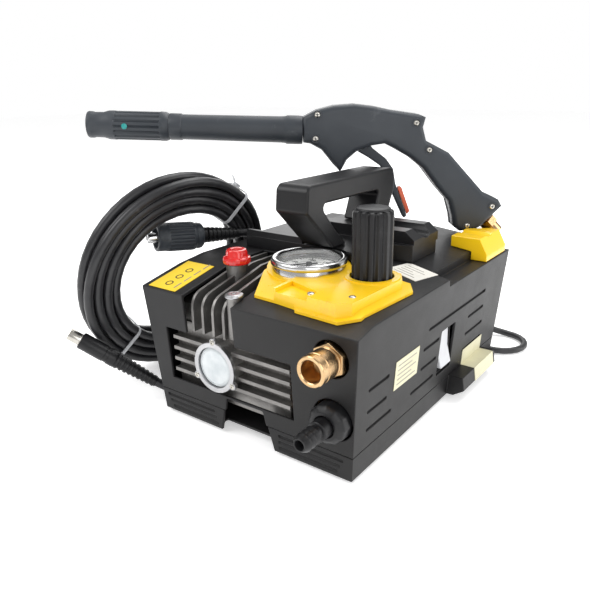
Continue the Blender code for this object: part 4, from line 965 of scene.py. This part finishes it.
# ------------------------------------------------------------------ knob and gauge
def knob():
    low, high = 0.0, 0.0711
    profile = [(0, low), (0.0172, low), (0.0178, 0.0012), (0.018, 0.0024), (0.018, 0.006), (0.0176, 0.0068),
               (0.0176, 0.063), (0.0174, 0.066), (0.0168, 0.068), (0.0154, 0.0688), (0.0148, 0.069),
               (0.0146, 0.07), (0.0138, 0.0707), (0.012, high), (0, 0.0713)]

    def flutes(angle, radius, height):
        if height < 0.0062 or radius < 0.015:
            return radius
        wave = math.cos(14 * angle)
        return radius - 0.0019 * max(0.0, wave) ** 0.7

    place = upward(*KNOB)
    body = lathe("pressure_knob_look", profile, place, 140, flutes)
    show("pressure_knob_look", body, BLACK, "knob", ("pressure_knob",))
    dress(STEEL, "regulator_spindle")


def gauge():
    place = upward(*GAUGE)
    cup = [(0, 0.1337), (0.03, 0.1337), (0.0322, 0.1345), (0.033, 0.1362), (0.033, 0.1528), (0.0326, 0.1535),
           (0.0316, 0.1535), (0.0312, 0.15), (0, 0.15)]
    turned("gauge_case_look", cup, place, 96, STEEL, instead=("gauge_case",))
    bezel = [(0.0308, 0.154), (0.0346, 0.154), (0.035, 0.1546), (0.0351, 0.1562), (0.0349, 0.158),
             (0.0342, 0.1593),
             (0.033, 0.16), (0.0318, 0.1602), (0.0305, 0.1599), (0.0296, 0.1592), (0.029, 0.1583),
             (0.0296, 0.1578),
             (0.0308, 0.1576), (0.0308, 0.154)]
    turned("gauge_bezel_look", bezel, place, 120, STEEL, instead=("gauge_bezel",))
    lens = [(0, 0.156), (0.0302, 0.156), (0.0303, 0.1568), (0.029, 0.1572), (0, 0.1574)]
    turned("gauge_lens_look", lens, place, 96, GLASS, instead=("gauge_lens",))
    card = [(0, 0.15), (0.0306, 0.15), (0.0306, 0.1505), (0.03, 0.1507), (0, 0.1507)]
    turned("gauge_dial", card, place, 96, DIAL)
    marks = []
    for step in range(41):
        turn = Matrix.Rotation(math.radians(225.0 - 6.75 * step), 4, "Z")
        reach = 0.0046 if step % 8 == 0 else (0.0036 if step % 4 == 0 else 0.0022)
        half = 0.00038 if step % 4 == 0 else 0.0002
        tick = [(0.0262 - reach, -half), (0.0262, -half), (0.0262, half), (0.0262 - reach, half)]
        marks.append(prism("tick", tick, place @ turn, (0.1507, 0.15085)))
    marks.append(band("inner_line", 0.014, 0.0143, 0.1507, 0.15085, place, 64))
    marks.append(band("outer_line", 0.0268, 0.028, 0.1507, 0.15085, place, 96))
    show("gauge_marks", merged("gauge_marks", marks), INK)
    digits = []
    for step, text in enumerate(("0", "50", "100", "150", "200", "250")):
        angle = math.radians(225.0 - 54.0 * step)
        curve = bpy.data.curves.new("digits", "FONT")
        curve.body = text
        curve.size = 0.0056
        curve.extrude = 0.00012
        curve.align_x = curve.align_y = "CENTER"
        draft = bpy.data.objects.new("digits", curve)
        bpy.context.scene.collection.objects.link(draft)
        bpy.context.view_layer.update()
        mesh = bpy.data.meshes.new_from_object(draft.evaluated_get(bpy.context.evaluated_depsgraph_get()))
        bpy.data.objects.remove(draft, do_unlink=True)
        mesh.transform(place @ Matrix.Translation((0.0182 * math.cos(angle), 0.0182 * math.sin(angle),
                                                   0.15085)))
        digits.append(mesh)
    show("gauge_digits", merged("gauge_digits", digits), INK)
    dress(INK, "gauge_needle")
    dress(BRASS, "gauge_stem")


def switch():
    soften("power_rocker", 0.0008, WHITE)
    soften("rocker_frame", 0.0007, BLACK)


# ------------------------------------------------------------------ drive, mostly hidden
def drive():
    dress(COPPER, "motor_stator")
    dress(CAST, "motor_flange", "motor_end_bell")
    dress(STEEL, "bearing_front", "bearing_rear", "motor_rotor", "crankshaft", "plunger_1", "plunger_2",
          "plunger_3")
    dress(BRASS, "pump_head")
    dress(BLACK, "cooling_fan", "motor_cradle", "start_capacitor")


# ------------------------------------------------------------------ gun
GUN_AT, GUN_YAW, GUN_DROOP = (-0.0768, 0.041, 0.262), 37.0, 2.4   # angles in degrees
GUN_FRAME = Matrix.Translation(spot(*GUN_AT)) @ Matrix.Rotation(math.radians(GUN_YAW), 4, "Z")
BARREL = GUN_FRAME @ Matrix.Translation((0, 0, -0.0015)) @ Matrix.Rotation(math.radians(GUN_DROOP - 90.0), 4,
                                                                           "Y")


def gun():
    away = GUN_FRAME.to_3x3() @ Vector((0, 1, 0))
    tip, core = GUN_FRAME @ Vector((0.039, 0, -0.045)), GUN_FRAME @ Vector((0.04, 0, -0.018))
    crowned("gun_shell_left", -away, 0.0062, GUN_GREY, tip, core)
    crowned("gun_shell_right", away, 0.0062, GUN_GREY, tip, core)
    soften("trigger", 0.0018, GUN_GREY, 3)
    soften("safety_latch", 0.0009, ORANGE, 3)
    dress(BRASS, "gun_valve", "nozzle_tip")
    spots = ((0.015, 0.015), (0.013, -0.0095), (0.119, 0.005), (0.134, -0.023), (0.206, -0.085),
             (0.18, -0.106))
    near = [GUN_FRAME @ axes_at(Vector((x, -0.0164, z)), (0, -1, 0)) for x, z in spots]
    screws("gun_screws", near, 0.003, body="gun")
    rings = [lathe("boss",
                   [(0.0032, -0.0004), (0.0046, -0.0004), (0.0044, 0.0008), (0.0034, 0.0008),
                    (0.0032, -0.0004)],
                   place, 32) for place in near]
    show("gun_screw_bosses", merged("gun_screw_bosses", rings), GUN_GREY, "gun")
    top = 0.1425
    barrel = [(0, 0.0002), (0.0139, 0.0002), (0.0148, 0.001), (0.015, 0.005), (0.015, 0.017),
              (0.0144, 0.0185),
              (0.0141, 0.02), (0.0138, 0.023), (0.0131, 0.121), (0.0131, 0.129), (0.0139, 0.13),
              (0.0139, 0.1415),
              (0.0134, top), (0, top)]
    turned("lance_barrel_look", barrel, BARREL, 64, GUN_GREY, "gun", ("lance_barrel",))
    low = top + 0.0003
    high = low + 0.0865
    nozzle = [(0, low), (0.0134, low), (0.0142, low + 0.0012), (0.0152, low + 0.004), (0.0153, low + 0.009),
              (0.0149, low + 0.01), (0.0149, low + 0.056), (0.0152, low + 0.0575), (0.015, low + 0.064),
              (0.0133, low + 0.07), (0.0131, low + 0.079), (0.0138, low + 0.0815), (0.0139, high - 0.0012),
              (0.0134, high), (0.011, high), (0.0105, high - 0.0008), (0.0095, high - 0.018),
              (0, high - 0.022)]

    def grips(angle, radius, height):
        inside = low + 0.0098 < height < low + 0.0565 and radius > 0.014
        return radius - (0.0016 * max(0.0, math.cos(16 * angle)) if inside else 0.0)

    turned("nozzle_head_look", nozzle, BARREL, 128, GUN_GREY, "nozzle", ("nozzle_head",),
           swell=grips)
    dot = [(0, 0.015), (0.003, 0.015), (0.003, 0.0157), (0.0024, 0.016), (0, 0.0161)]
    side = GUN_FRAME @ axes_at(Vector((-0.188, 0.0, 0.0064)), (0, -1, 0))
    turned("nozzle_dot", dot, side, 32, TEAL, "nozzle")


camera()
studio()
hose()
lead()
case()
stickers()
side_stickers()
pump()
water()
knob()
gauge()
switch()
drive()
gun()
